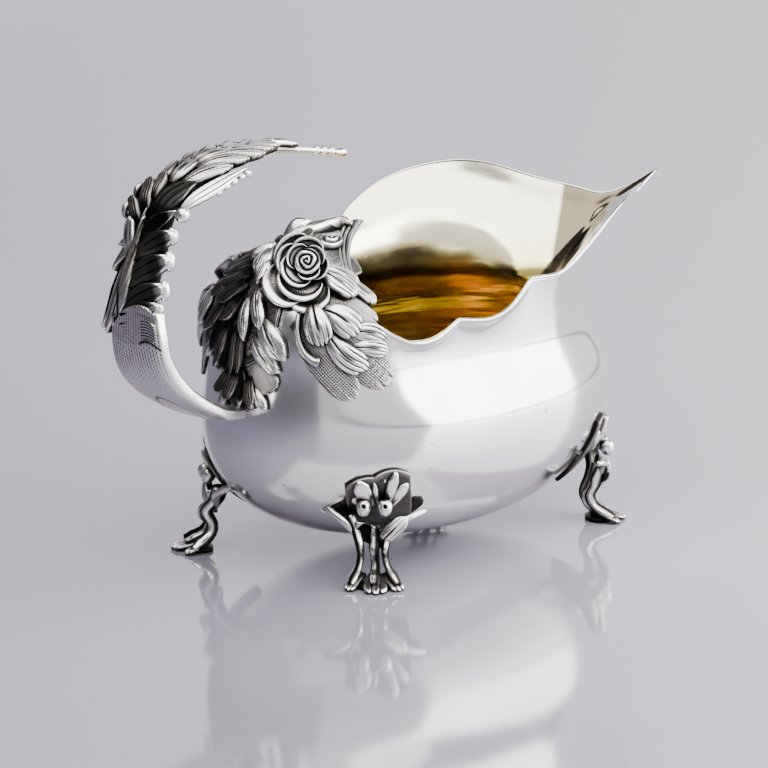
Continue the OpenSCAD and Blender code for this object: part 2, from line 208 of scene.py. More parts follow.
def make(name, verts, faces, node, slot, raised=None):
    """A mesh object from points in mm that rides on the one body and stands for a CAD node."""
    mesh = bpy.data.meshes.new(name)
    verts = (np.asarray(verts, float) - [LENGTH_MIDDLE, 0, 0]) * MM
    verts = np.clip(verts, np.array(CAD_BOX[0]) + BOX_GAP, np.array(CAD_BOX[1]) - BOX_GAP)
    mesh.from_pydata(verts.tolist(), [], [list(map(int, f)) for f in faces])
    mesh.validate()
    mesh.update()
    mesh.polygons.foreach_set("use_smooth", [True] * len(mesh.polygons))
    if raised is not None:
        layer = mesh.attributes.new("raised", "FLOAT", "POINT")
        layer.data.foreach_set("value", np.asarray(raised, np.float32))
    mesh.materials.append(MATERIALS[slot])
    obj = link(name, mesh)
    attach(obj, "root")
    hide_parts(node)


def grid_faces(rows, cols, closed=False, first=0, flip=False):
    """Quads between the points of a grid, whose columns may close into rings."""
    faces = []
    for i in range(rows - 1):
        for j in range(cols if closed else cols - 1):
            k = (j + 1) % cols
            f = [first + i * cols + j, first + i * cols + k,
                 first + (i + 1) * cols + k, first + (i + 1) * cols + j]
            faces.append(f[::-1] if flip else f)
    return faces


def ring_angles():
    """Angles round the bowl, finest at the spout, with every cusp among them."""
    half = np.concatenate([np.linspace(0, 30, 61)[:-1], np.linspace(30, 180, 151)])
    return np.concatenate([half, -half[1:-1][::-1]])


def bowl_shell(name, outer, inner, node, slot):
    """A closed shell between two depths of the wall: up the outside, then down the inside."""
    v = np.concatenate([np.linspace(0.03, 1, 60)[:-1], np.linspace(1, 1.992, 56)])
    tt, vv = np.meshgrid(ring_angles(), v)
    rings = np.concatenate([inside(tt, vv, outer), inside(tt, vv, inner)[::-1]])
    cast = Casting()
    cast.rod(rings, np.array([[BELLY_X, 0, BASE_Z + outer], [BELLY_X, 0, BASE_Z + inner]]), 1)
    cast.done(name, node, slot)


# Rim bead in the lip's own plane: out from the skin, and down from the edge.
RIM_PROFILE = [
    (-0.74, -0.7), (-0.76, -0.35), (-0.6, -0.08), (-0.35, 0), (-0.1, -0.03), (0.1, -0.16),
    (0.22, -0.4), (0.2, -0.65), (0.06, -0.82), (-0.04, -0.9), (0, -1), (0.1, -1.15),
    (0.12, -1.35), (0, -1.5), (-0.4, -1.5),
]


def rim_bead():
    """The applied wire under the edge, swept round the rim."""
    t = ring_angles()
    edge = inside(t, np.full_like(t, 2), 0)
    near = inside(t, np.full_like(t, 1.95), 0)
    out = skin_out(t, np.full_like(t, 1.99))
    down = unit(near - edge)
    scale = thin(edge)[:, None]
    rows = [edge + out * scale * a - down * b * (0.35 + 0.65 * scale) for a, b in RIM_PROFILE]
    m, k = len(t), len(RIM_PROFILE)
    faces = []
    for i in range(k):
        for j in range(m):
            n, i2 = (j + 1) % m, (i + 1) % k
            faces.append([i * m + j, i2 * m + j, i2 * m + n, i * m + n])
    make("rim_bead", np.concatenate(rows), faces, "rim_wire", "polished_silver")


# ---- cast foliage
class Casting:
    """Gathers the closed solids of one casting, then makes one mesh of them."""

    def __init__(self):
        self.verts, self.faces, self.raised, self.count = [], [], [], 0

    def put(self, verts, faces, raised):
        """One closed solid, with a tone for each point from 0 to 1: patina in hollows and cut lines, with
        painted shade and painted highlights mixed in.
        """
        self.verts.append(verts)
        self.faces += [[i + self.count for i in f] for f in faces]
        self.raised.append(np.broadcast_to(raised, len(verts)))
        self.count += len(verts)

    def rod(self, rings, ends, raised, flip=False):
        """A solid from rings of points, closed at both ends by a middle point."""
        rows, cols = rings.shape[:2]
        n = rows * cols
        faces = grid_faces(rows, cols, True)
        for j in range(cols):
            k = (j + 1) % cols
            faces += [[n, k, j], [n + 1, n - cols + j, n - cols + k]]
        if flip:
            faces = [f[::-1] for f in faces]
        self.put(np.concatenate([rings.reshape(-1, 3), ends]), faces, raised)

    def slab(self, top, under, raised):
        """A closed plate between two grids of points."""
        rows, cols = top.shape[:2]
        n = rows * cols
        faces = grid_faces(rows, cols) + grid_faces(rows, cols, first=n, flip=True)
        last = (rows - 1) * cols
        for j in range(cols - 1):
            faces.append([j + 1, j, n + j, n + j + 1])
            faces.append([last + j, last + j + 1, n + last + j + 1, n + last + j])
        for i in range(rows - 1):
            a, b = i * cols, (i + 1) * cols
            faces.append([a, b, n + b, n + a])
            faces.append([b + cols - 1, a + cols - 1, n + a + cols - 1, n + b + cols - 1])
        verts = np.concatenate([top.reshape(-1, 3), under.reshape(-1, 3)])
        shade = np.concatenate([np.asarray(raised).reshape(-1), np.full(n, 0.12)])
        self.put(verts, faces, shade)

    def tube(self, points, radii, sides=12, raised=0.6, deep=None):
        """A round closed rod. Its radii are spread evenly along it; deep = (direction, share) widens it
        one way.
        """
        points = np.asarray(points, float)
        n = len(points)
        radii = np.interp(np.linspace(0, 1, n), np.linspace(0, 1, len(radii)), radii)
        along = unit(np.gradient(points, axis=0))
        side = unit(np.cross(along, np.array([0.31, 0.22, 0.92])))
        for i in range(1, n):
            s0 = side[i - 1] - along[i] * np.dot(side[i - 1], along[i])
            side[i] = s0 / np.linalg.norm(s0)
        up = np.cross(along, side)
        turn = np.linspace(0, TAU, sides, endpoint=False)
        ring = side[:, None] * np.cos(turn)[None, :, None] + up[:, None] * np.sin(turn)[None, :, None]
        if deep is not None:
            ring = ring + deep[0] * (ring @ deep[0])[..., None] * (deep[1] - 1)
        ends = np.concatenate([points[:1], points[-1:]])
        self.rod(points[:, None] + ring * radii[:, None, None], ends, raised)

    def ball(self, centre, radius, raised=0.75, squash=(1, 1, 1)):
        """A bead, a little flattened along the axes given."""
        lat = np.linspace(-PI / 2, PI / 2, 13)[1:-1]
        lon = np.linspace(0, TAU, 20, endpoint=False)
        la, lo = np.meshgrid(lat, lon, indexing="ij")
        body = np.stack([np.cos(la) * np.cos(lo), np.cos(la) * np.sin(lo), np.sin(la)], -1)
        size = radius * np.array(squash)
        self.rod(body * size + centre, np.array([[0, 0, -1], [0, 0, 1]]) * size + centre, raised)

    def done(self, name, node, slot="oxidised_silver"):
        """The casting as one object, which stands for the CAD node."""
        make(name, np.concatenate(self.verts), self.faces, node, slot, np.concatenate(self.raised))


def smooth_path(points, count):
    """Even steps along a smooth curve through a few points."""
    points = np.asarray(points, float)
    t = np.linspace(0, 1, len(points))
    keys = np.column_stack([t, points])
    return key_curve(keys, np.linspace(0, 1, count))


def straight(start, end, count):
    """Surface coordinates from start to end, and the share of the way."""
    u = np.linspace(0, 1, count)
    start, end = np.asarray(start, float), np.asarray(end, float)
    return start + (end - start) * u[:, None], u


def bowl_line(line):
    """Points and outward normals of the bowl at rows (angle, level)."""
    return skin(line[:, 0], line[:, 1]), skin_out(line[:, 0], np.minimum(line[:, 1], LAST_LEVEL))


def on_bowl(start, end, bend=0, count=24):
    """Points and outward normals along a line (angle, level) on the bowl, bowed by bend mm."""
    line, u = straight(start, end, count)
    p, n = bowl_line(line)
    along = unit(np.gradient(p, axis=0))
    p = p + np.cross(n, along) * (bend * np.sin(PI * u))[:, None]
    return p, n


def leaf(cast, path, half, lobes=3, scallop=0, rounding=0.22, belly=0.5, close=0.35, stand=(0.6, 1.4),
         solid=True, thick=1.6, crown=0.5, cut=0, start=0.3, groove=0, lines=0, veins=0, roll=0,
         cup=0, punch=0, foot=0.35, shade=0, rim_light=0.12):
    """A cast leaf along path = (points, normals), its end cut into lobes."""
    points, normals = path
    length = float(np.linalg.norm(np.diff(points, axis=0), axis=1).sum())
    grid = 0.2 if punch else 0.27
    cols = int(np.clip(half * 2 / grid, 26, 80))
    rows = int(np.clip(length / grid, 26, 90))
    u = np.linspace(0, 1, rows)[:, None]
    s = np.linspace(-1, 1, cols)[None, :]
    wave = np.abs(np.sin(PI * lobes * (s + 1) / 2))
    end = 1 - rounding * np.abs(s) ** 2.2 - scallop * (1 - np.clip(wave * 1.5, 0, 1)) ** 1.5
    reach = u * end
    wide = np.where(reach < belly, foot + (1 - foot) * np.sin(np.clip(reach / belly, 0, 1) * PI / 2),
                    1 - close * ((reach - belly) / (1 - belly)) ** 2)
    y = s * wide * half
    frac = reach * (len(points) - 1)
    i = np.clip(frac.astype(int), 0, len(points) - 2)
    w = (frac - i)[..., None]
    p = points[i] * (1 - w) + points[i + 1] * w
    n = unit(normals[i] * (1 - w) + normals[i + 1] * w)
    along = unit(np.gradient(points, axis=0))
    a = unit(along[i] * (1 - w) + along[i + 1] * w)
    side = unit(np.cross(n, a))
    # Engraved lines, each 0 to 1: between the lobes, finer ones within them, side veins, the midrib.
    cuts = np.clip(1 - wave / 0.42, 0, 1) * ease((reach - start) / 0.35)
    fine = np.clip(1 - np.abs(np.sin(PI * lobes * 3 * (s + 1) / 2)) / 0.5, 0, 1) * ease((reach - 0.25) / 0.2)
    rungs = np.clip(np.cos(TAU * (reach * length - 1.1 * np.abs(y)) / 1.15) * 1.8 - 0.8, 0, 1)
    rungs = rungs * np.clip(np.abs(s) * 4, 0, 1)
    rib = bell(s, 0.08) * ease(reach / 0.1) * (1 - ease((reach - 0.55) / 0.25))
    pits = np.cos(y * PI / 0.62) * np.cos(reach * length * PI / 0.62)
    dots = ease((np.abs(pits) - 0.25) / 0.35) if punch else 0 * y
    detail = -cut * cuts - 0.1 * lines * fine - 0.1 * veins * rungs - groove * rib - punch * dots
    rise = stand[0] + (stand[1] - stand[0]) * reach
    crowned = crown * (1 - s**2) * np.sin(PI * np.clip(reach, 0, 1) ** 0.8)
    hollow = cup * (1 - s**2) * np.sin(PI * np.clip(reach * 0.95, 0, 1))
    rolled = roll * bell(reach - 0.86, 0.12)
    edge = np.minimum(np.clip((1 - np.abs(s)) / 0.14, 0, 1), np.clip((1 - u) / 0.09, 0, 1)) ** 0.5
    height = rise + crowned + rolled - hollow + detail - (1 - edge) * (0.4 + roll * 0.4)
    top = p + side * y[..., None] + n * height[..., None]
    sink = np.full(y.shape, -0.35) if solid else rise - thick + 0 * y
    under = p + side * (y * 0.97)[..., None] + n * sink[..., None]
    # Tone: dark patina in the engraved lines and punched dots, the foot painted darker as shade where it
    # tucks under other leaves, and darker inside a cup; rim_light adds a painted highlight along the edges,
    # and shade a painted shade over the whole leaf.
    tone = (0.86 - 0.62 * cuts * np.clip(cut / 0.25, 0, 1) - 0.55 * lines * fine - 0.5 * veins * rungs
            - 0.75 * rib * np.clip(groove / 0.4, 0, 1) - 0.62 * dots - 0.34 * (1 - ease(reach / 0.35)))
    inner = np.clip(cup, 0, 1) * edge * (1 - ease((reach - 0.78) / 0.1))
    tone = tone * (1 - 0.72 * inner) + rim_light * (1 - edge) + shade
    cast.slab(top, under, np.clip(tone, 0, 1))


# Leaf habits: what the leaves of one kind share.
FAN = dict(lobes=5, scallop=0.17, rounding=0.18, belly=0.62, close=0.25, cut=0.28, groove=0.5, crown=0.9,
           lines=0.8)
OVAL = dict(scallop=0.05, rounding=0.28, close=0.45, cut=0.16, groove=0.45, crown=0.9, lines=0.5, veins=0.4)
PLATE = dict(scallop=0.07, rounding=0.15, close=0.12, punch=0.14, crown=0.3, foot=0.7, shade=-0.05)
PLUME = dict(scallop=0.03, rounding=0.45, belly=0.45, close=0.6, cut=0.5, start=0.05, crown=0.9, foot=0.3,
             lines=0.3, shade=-0.46, rim_light=0.65)
HOLLOW = dict(lobes=2, rounding=0.4, close=0.5, cup=1, crown=0.2, foot=0.4, shade=-0.12, rim_light=0.5)
CURL = dict(lobes=5, scallop=0.06, rounding=0.3, belly=0.55, close=0.35, cut=0.5, start=0.05, roll=0.5,
            crown=0.6, foot=0.6, shade=-0.46, rim_light=0.6)

# The leaves of one side of the hood, a row each: habit, start, end, half width, bend, stand at both ends.
# A start or end is two numbers, the angle from the hood's middle and the level on the bowl.
SIDE_LEAVES = [
    (PLATE, 19, 1.3, 36, 1, 4.6, 1, 0.5, 0.8), (PLATE, 27, 1.2, 47, 0.9, 5.2, 0.5, 0.6, 1),
    (PLATE, 23, 1.14, 38, 0.86, 4.2, -1, 0.6, 1), (PLATE, 22, 1.52, 42, 1.86, 3.6, 0.5, 0.7, 1.3),
    (PLATE, 26, 1.4, 46, 1.62, 3.6, -0.6, 0.6, 1.2), (FAN, 34, 1.36, 45, 1.72, 2.9, 0.5, 1, 1.8),
    (FAN, 36, 1.2, 46, 1.36, 2.5, 0.4, 1, 1.9), (FAN, 29, 1.26, 40, 0.98, 3.5, -0.8, 1.3, 2.4),
    (FAN, 22, 1.46, 28, 1.14, 3.7, 0.3, 1.6, 2.8), (FAN, 26, 1.46, 37, 1.46, 4.1, 0.4, 1.8, 3),
]


# ---- materials
def rgba(colour):
    """A colour with its alpha, from three shares or from one grey."""
    return (*colour, 1) if isinstance(colour, tuple) else (colour, colour, colour, 1)


class Paint:
    """A procedural material in the making."""

    def __init__(self, name):
        self.material = bpy.data.materials.new(name)
        self.material.use_nodes = True
        self.tree = self.material.node_tree
        self.shader = self.tree.nodes["Principled BSDF"].inputs
        self.coords = self.add("ShaderNodeTexCoord", {}, "Object")

    def plug(self, value, socket):
        """Put a number, a colour or another node's output into a socket."""
        if isinstance(value, bpy.types.NodeSocket):
            self.tree.links.new(value, socket)
        else:
            socket.default_value = value

    def add(self, kind, inputs, output=0, **settings):
        """A node with its inputs plugged; gives one of its outputs."""
        node = self.tree.nodes.new(kind)
        for key, value in settings.items():
            setattr(node, key, value)
        for key, value in inputs.items():
            self.plug(value, node.inputs[key])
        return node.outputs[output]

    def stretched(self, scale, rotation=(0, 0, 0)):
        """Coordinates scaled by axis, for streaks."""
        inputs = {"Vector": self.coords, "Scale": scale, "Rotation": rotation}
        return self.add("ShaderNodeMapping", inputs)

    def noise(self, scale, detail, rough, coords=None):
        """Noise at a scale, with its detail and roughness."""
        where = self.coords if coords is None else coords
        inputs = {"Vector": where, "Scale": scale, "Detail": detail, "Roughness": rough}
        return self.add("ShaderNodeTexNoise", inputs)

    def ramp(self, source, stops):
        """A colour ramp through (place, colour) stops."""
        colours = self.add("ShaderNodeValToRGB", {"Fac": source})
        elements = colours.node.color_ramp.elements
        for element, stop in zip(elements, (stops[0], stops[-1])):
            element.position, element.color = stop[0], rgba(stop[1])
        for place, colour in stops[1:-1]:
            elements.new(place).color = rgba(colour)
        return colours

    def maths(self, operation, *values):
        """One sum on numbers or sockets."""
        return self.add("ShaderNodeMath", dict(enumerate(values)), operation=operation)

    def dot(self, direction):
        """How far each point lies along a direction."""
        inputs = {0: self.coords, 1: direction}
        return self.add("ShaderNodeVectorMath", inputs, "Value", operation="DOT_PRODUCT")

    def span(self, source, low, high):
        """0 to 1 while the source goes from low to high."""
        return self.add("ShaderNodeMapRange", {"Value": source, "From Min": low, "From Max": high})

    def blend(self, share, a, b):
        """Output a, or b where the share is 1."""
        b = rgba(b) if isinstance(b, tuple) else b
        return self.add("ShaderNodeMix", {0: share, 6: a, 7: b}, 2, data_type="RGBA")

    def bump(self, height, strength, distance):
        """Fine relief from a height."""
        inputs = {"Height": height, "Strength": strength, "Distance": distance}
        self.plug(self.add("ShaderNodeBump", inputs), self.shader["Normal"])

    def done(self, colour, **sockets):
        """The material with this base colour and these values on its shader."""
        self.plug(colour, self.shader["Base Color"])
        for key, value in sockets.items():
            self.plug(value, self.shader[key.replace("_", " ")])
        return self.material


def polished_silver():
    """Mirror silver with a faint haze, fine scratches and a few dark specks."""
    paint = Paint("polished_silver")
    tint = paint.ramp(paint.noise(55, 5, 0.6), [
        (0.3, (0.8, 0.785, 0.785)), (0.7, (0.9, 0.885, 0.885))])
    both = paint.maths("MULTIPLY", paint.noise(420, 3, 0.6), paint.noise(38, 2, 0.5))
    speck = paint.ramp(both, [(0.4, 0), (0.46, 0.7)])
    haze = paint.ramp(paint.noise(30, 4, 0.6), [(0.3, 0.09), (0.7, 0.2)])
    scratch = paint.noise(1, 3, 0.7, paint.stretched((120, 120, 1400), (0.5, 0.3, 0.2)))
    paint.bump(scratch, 0.05, 0.0001)
    return paint.done(paint.blend(speck, tint, (0.3, 0.28, 0.27)), Roughness=haze, Metallic=1)


def gilt():
    """Gilding painted pale on the lip as a painted highlight, with a dark olive painted shade line just
    above the waist, and deep gold in the bowl, painted darker as shade and streaked with painted
    reflections.
    """
    paint = Paint("gilt")
    z = paint.add("ShaderNodeSeparateXYZ", {0: paint.coords}, "Z")
    height = paint.maths("MULTIPLY_ADD", paint.noise(40, 3, 0.5), 0.004, z)
    place = paint.span(height, 0.03, 0.095)
    # The lip is painted pale as a highlight; the thin dark olive band below it is a painted shade line.
    pale = paint.ramp(place, [
        (0.52, (0.08, 0.065, 0.015)), (0.55, (0.12, 0.1, 0.03)), (0.58, (0.93, 0.82, 0.4)),
        (0.68, (0.99, 0.93, 0.68)), (1, (1, 0.96, 0.8))])
    # Deep gold, painted darker as shade, with streaks that are painted reflections.
    streaks = paint.noise(1, 4, 0.6, paint.stretched((30, 30, 170)))
    deep = paint.ramp(streaks, [
        (0.36, (0.44, 0.26, 0.005)), (0.5, (0.74, 0.5, 0.012)), (0.62, (0.96, 0.76, 0.06))])
    tone = paint.blend(paint.span(place, 0.505, 0.525), deep, pale)
    # Along the spout the lining is painted a dark grey-brown, a painted reflection of the far wall, up to a
    # slanting edge.
    spout_reflection = paint.span(paint.dot((0.648, -0.7615, -0.22)), 0.025, 0.0262)
    tone = paint.blend(spout_reflection, tone, (0.165, 0.14, 0.095))
    haze = paint.ramp(paint.noise(90, 4, 0.6), [(0.3, 0.1), (0.7, 0.22)])
    below = paint.ramp(place, [(0.38, 1), (0.58, 0.06)])
    ripple = paint.noise(1, 3, 0.55, paint.stretched((22, 22, 150)))
    paint.bump(paint.maths("MULTIPLY", ripple, below), 0.9, 0.0012)
    return paint.done(tone, Roughness=haze, Metallic=1)


def worn_silver(name, dark, bright, smooth, reach):
    """Cast silver: black in the recesses, bright where polishing reaches; the per-point tone it reads also
    carries painted shade and painted highlights.
    """
    paint = Paint(name)
    raised = paint.add("ShaderNodeAttribute", {}, "Fac", attribute_name="raised")
    air = paint.add("ShaderNodeAmbientOcclusion", {"Distance": reach}, "AO", samples=6)
    grain = paint.maths("MULTIPLY", paint.noise(500, 4, 0.6), 0.16)
    lit = paint.maths("ADD", paint.maths("MULTIPLY", raised, air), grain)
    tone = paint.ramp(lit, [
        (0.26, dark), (0.46, (0.08, 0.073, 0.068)),
        (0.66, (0.4, 0.375, 0.36)), (0.9, (bright, bright * 0.98, bright * 0.97))])
    rough = paint.ramp(lit, [(0.3, 0.5), (0.8, smooth)])
    paint.bump(paint.noise(900, 3, 0.6), 0.2, 0.0001)
    return paint.done(tone, Roughness=rough, Metallic=1)


# Materials by slot.
MATERIALS = {
    "polished_silver": polished_silver(),
    "gilt": gilt(),
    "oxidised_silver": worn_silver("oxidised_silver", 0.006, 0.95, 0.2, 0.0032),
    "matted_silver": worn_silver("matted_silver", 0.03, 0.93, 0.24, 0.0006),
}


# ---- stage
CAMERA_TURN, CAMERA_LIFT, CAMERA_AWAY, CAMERA_LENS = -49.6, 12.6, 1.2, 208.3
CAMERA_TARGET = Vector(((-7.4 - LENGTH_MIDDLE) * MM, 0, 0.0432))
LAMP_TARGET = Vector((0, 0, 0.05))
FLOOR_HALF = 3
UP = Vector((0, 0, 1))

# Soft boxes: metres towards the camera, to its right and up, size, watts, colour.
LAMPS = {
    "back_box": (-1.7, 0.5, 0.55, (3.4, 1.1), 17, (0.93, 0.9, 1)),
    "right_box": (0.05, 1.2, 0.45, (1.7, 0.9), 46, (1, 1, 1)),
    "front_box": (1.5, 0.75, 0.66, (2.1, 1.3), 9, (1, 1, 1)),
    "top_box": (0.4, 0.1, 1.05, (1.6, 1.6), 42, (1, 0.985, 0.95)),
}


def view_back():
    """The direction from the object to the camera."""
    a, e = math.radians(CAMERA_TURN), math.radians(CAMERA_LIFT)
    return Vector((math.sin(a) * math.cos(e), -math.cos(a) * math.cos(e), math.sin(e)))


def view_side():
    """The camera's right."""
    return UP.cross(view_back()).normalized()


def floor():
    """A pale glossy plane with a painted shadow falloff, darker to the left of the view."""
    paint = Paint("pale_floor")
    cloud = paint.maths("MULTIPLY", paint.noise(14, 3, 0.5), 0.1)
    # Painted shadow falloff: the floor darkens towards the left of the view.
    lean = paint.maths("ADD", paint.maths("MULTIPLY_ADD", paint.dot(view_side()), 3, cloud), 0.45)
    colour = paint.ramp(lean, [(0, (0.145, 0.13, 0.185)), (1, (0.4, 0.385, 0.44))])
    mesh = bpy.data.meshes.new("floor")
    r = FLOOR_HALF
    mesh.from_pydata([(-r, -r, 0), (r, -r, 0), (r, r, 0), (-r, r, 0)], [], [[0, 1, 2, 3]])
    mesh.materials.append(paint.done(colour, Roughness=0.07, Specular_IOR_Level=1))
    link("floor", mesh)


def camera():
    """The camera, a little above the right side."""
    data = bpy.data.cameras.new("camera")
    data.lens = CAMERA_LENS
    data.sensor_width = 36
    obj = link("camera", data)
    obj.location = CAMERA_TARGET + view_back() * CAMERA_AWAY
    obj.rotation_euler = view_back().to_track_quat("Z", "Y").to_euler()
    bpy.context.scene.camera = obj


def studio():
    """A dim pale surround and the soft boxes."""
    world = bpy.data.worlds.new("studio")
    bpy.context.scene.world = world
    world.use_nodes = True
    background = world.node_tree.nodes["Background"].inputs
    background["Color"].default_value = rgba((0.6, 0.575, 0.62))
    background["Strength"].default_value = 0.26
    back = view_back()
    level = Vector((back.x, back.y, 0)).normalized()
    for name, (near, right, high, size, watts, colour) in LAMPS.items():
        lamp = bpy.data.lights.new(name, "AREA")
        lamp.shape = "RECTANGLE"
        lamp.size, lamp.size_y = size
        lamp.energy = watts
        lamp.color = colour
        obj = link(name, lamp)
        obj.location = level * near + view_side() * right + UP * high
        obj.rotation_euler = (LAMP_TARGET - obj.location).to_track_quat("-Z", "Y").to_euler()


# ---- hood
def rows(leaves):
    """Each row of a table of leaves: habit, start, end, half width, bend, stand at both ends."""
    for habit, *n in leaves:
        yield habit, n[:2], n[2:4], n[4], n[5], n[6:]


def hood_leaves(cast, leaves, side=-1):
    """Leaves on the hood. With side -1 angles count to the right of its middle, with side 1 to the left."""
    for habit, start, end, half, bend, stand in rows(leaves):
        a = [side * (180 - start[0]), start[1]]
        b = [side * (180 - end[0]), end[1]]
        leaf(cast, on_bowl(a, b, -side * bend), half, stand=stand, **habit)


# A scroll standing out beside the rose: its course as (angle from the hood's middle, level), and its radii.
SCROLL = [(19, 1.32), (20, 1.18), (22, 1.08), (25, 1.03), (27, 1.02)]
SCROLL_RADII = [0.6, 0.8, 0.9, 1.1, 1.5]


def scroll(cast):
    """A rod standing out from the skin that follows it and swells at its end."""
    points, normals = bowl_line(smooth_path([(-180 + a, v, 0) for a, v in SCROLL], 40))
    cast.tube(points + normals * 1.2, SCROLL_RADII, 14, 0.7)


REAR_LEAVES = [
    (PLATE, 4, 1.55, 4, 0.9, 7, 0, 0.3, 0.5), (PLATE, -6, 1.75, -10, 0.9, 8.5, 0, 0.3, 0.5),
    (OVAL, 2, 1.34, 8, 1.14, 2.1, 0.3, 1.8, 2.8), (OVAL, 0, 1.28, 2, 1.07, 1.9, -0.2, 1.8, 2.6),
    (OVAL, 8, 1.2, 17, 1.02, 3.2, -0.6, 1.8, 2.8), (OVAL, 5, 1.1, 15, 0.97, 2.6, -0.8, 1.6, 2.4),
    (PLATE, 4, 1.02, 13, 0.88, 3.4, 0, 1.2, 1.8), (PLUME, 0, 1.12, -1, 0.93, 1.5, 0.3, 1.6, 2.2),
    (PLUME, -2, 1.14, -4, 0.92, 1.3, 0.5, 1.8, 2.4), (HOLLOW, -4, 1.12, -9, 0.92, 1.7, 0.6, 1.8, 2.4),
    (PLUME, -6, 1.16, -14, 0.94, 1.8, 0.9, 1.8, 2.2), (HOLLOW, -7, 1.22, -19, 0.98, 2.3, 1.2, 2, 2.4),
    (PLUME, -9, 1.34, -23, 1.1, 2.3, 1.2, 1.6, 2.2), (HOLLOW, -11, 1.44, -26, 1.24, 2.4, 1, 1.4, 2),
    (PLUME, -13, 1.54, -27, 1.38, 2.3, 0.8, 1.2, 1.8), (CURL, -5, 1.46, -15, 1.4, 2.2, 0.8, 2.2, 2.8),
    (CURL, -4, 1.38, -13, 1.28, 2.1, 0.8, 2.6, 3), (CURL, -3, 1.28, -9, 1.16, 1.9, 0.6, 2.6, 3),
    (CURL, -7, 1.56, -18, 1.52, 2.2, 0.6, 2, 2.6), (CURL, -8, 1.64, -20, 1.62, 2.2, 0.4, 1.8, 2.4),
    (CURL, -7, 1.72, -18, 1.73, 2, 0.4, 1.8, 2.4), (OVAL, -3, 1.6, 0, 1.4, 2.3, -0.4, 3, 3.4),
    (OVAL, -4, 1.66, -7, 1.55, 1.6, -0.2, 3, 3.4), (OVAL, 0, 1.5, 2, 1.36, 1.5, 0.3, 2.8, 3.2),
]

ROOT_LEAVES = [
    (PLATE, -9, 0.93, 5, 0.8, 4.2, 0, 0.5, 0.8), (CURL, -5, 0.97, -11, 0.84, 2, 0.6, 1.4, 2.4),
    (CURL, -1, 0.96, -5, 0.82, 1.8, 0.4, 2, 3), (HOLLOW, 1, 0.96, 1, 0.8, 1.6, 0.2, 2, 3),
    (CURL, 4, 0.94, 6, 0.8, 1.8, -0.4, 1.8, 2.6), (OVAL, 6, 0.9, 11, 0.8, 1.8, -0.6, 1.2, 1.8),
    (OVAL, -6, 0.9, -10, 0.76, 1.6, 0.4, 1.2, 1.8),
]

CREST_LEAVES = [
    (PLATE, -14, 1.74, -12, 1.985, 9, 0, 0.35, 0.35), (PLATE, 14, 1.76, 12, 1.985, 9, 0, 0.35, 0.35),
    (CURL, -2, 1.66, -6, 1.74, 1.9, 0, 2.4, 2.8), (CURL, 2, 1.68, 1, 1.78, 1.7, 0, 2.4, 2.8),
    (CURL, 6, 1.7, 7, 1.8, 1.7, 0, 2.2, 2.6),
]

RIM_LEAVES = [
    (FAN, 17, 1.72, 28, 1.97, 2.6, 0.4, 3, 2.6), (FAN, 22, 1.76, 36, 2.1, 2.4, 0.5, 2.2, 2),
    (FAN, 18, 1.68, 31, 1.86, 3.4, -0.4, 3.6, 3.2),
]


def lens_leaf(cast):
    """The long lens-shaped leaf over the hood's crown, with a smooth boss on it."""
    lens = dict(lobes=2, crown=1.6)
    leaf(cast, on_bowl([-188, 1.8], [-177, 1.975]), 2.9, rounding=0.75, close=0.9, foot=0.15,
         stand=(1.8, 1.8), lines=0.9, **lens)
    (p, ahead), (n, _) = bowl_line(np.array([[-186, 1.88], [-182, 1.93]]))
    along = unit(ahead - p)
    path = smooth_path([p - along * 5, p + n * 1.6, p + along * 5], 20)
    leaf(cast, (path, np.repeat(n[None], 20, 0)), 2.6, rounding=0.5, close=0.8, foot=0.25,
         stand=(2.4, 2.6), veins=0.3, **lens)


def bud(cast):
    """A round bud of nested rings beside the hood's front edge."""
    t = np.linspace(0, TAU, 73)[None, :]
    r = np.linspace(0, 1, 30)[:, None]
    (c, ahead), (n, _) = bowl_line(np.array([[-172, 1.885], [-172, 1.935]]))
    along = unit(ahead - c)
    side = np.cross(n, along)
    x, y = 4.6 * r * np.cos(t), 2.9 * r * np.sin(t)
    rings = 0.5 + 0.5 * np.cos(TAU * (r * 2.6 + 0.1 * np.sin(t)))
    z = 2.6 - 1.7 * r**2 + 0.5 * rings

    def layer(share, height):
        flat = along * (x * share)[..., None] + side * (y * share)[..., None]
        return c + flat + n * height[..., None]

    cast.slab(layer(1, z), layer(0.96, 0 * z - 0.6), 0.25 + 0.65 * rings + 0 * z)


def edge_strip(cast):
    """The reeded strip that follows the hood's front edge."""
    q = np.linspace(0, 1, 22)[None, :]
    t, level = np.broadcast_arrays(np.linspace(-208, -152, 90)[:, None], 1.93 + 0.068 * q)
    p, n = skin(t, level), skin_out(t, np.minimum(level, 1.99))
    reed = np.abs(np.sin(PI * 3 * q)) ** 0.7 + 0 * t
    cast.slab(p + n * (0.25 + 0.65 * reed)[..., None], p - n * 0.4, 0.2 + 0.7 * reed)


def hood():
    """The castings on the hood."""
    for side, name in ((-1, "right"), (1, "left")):
        cast = Casting()
        hood_leaves(cast, SIDE_LEAVES, side)
        if side < 0:
            scroll(cast)
        cast.done("leaf_mount_" + name, "mount_" + name)
        cast = Casting()
        hood_leaves(cast, RIM_LEAVES, side)
        cast.done("over_rim_leaves_" + name, "rim_leaves_" + name)
    for name, leaves, node, extras in (
            ("plume", REAR_LEAVES, "rear_plume", ()),
            ("root_leaves", ROOT_LEAVES, "handle_root_leaf", ()),
            ("crest", CREST_LEAVES, "hood_crest", (lens_leaf, bud, edge_strip))):
        cast = Casting()
        hood_leaves(cast, leaves)
        for extra in extras:
            extra(cast)
        cast.done(name, node)


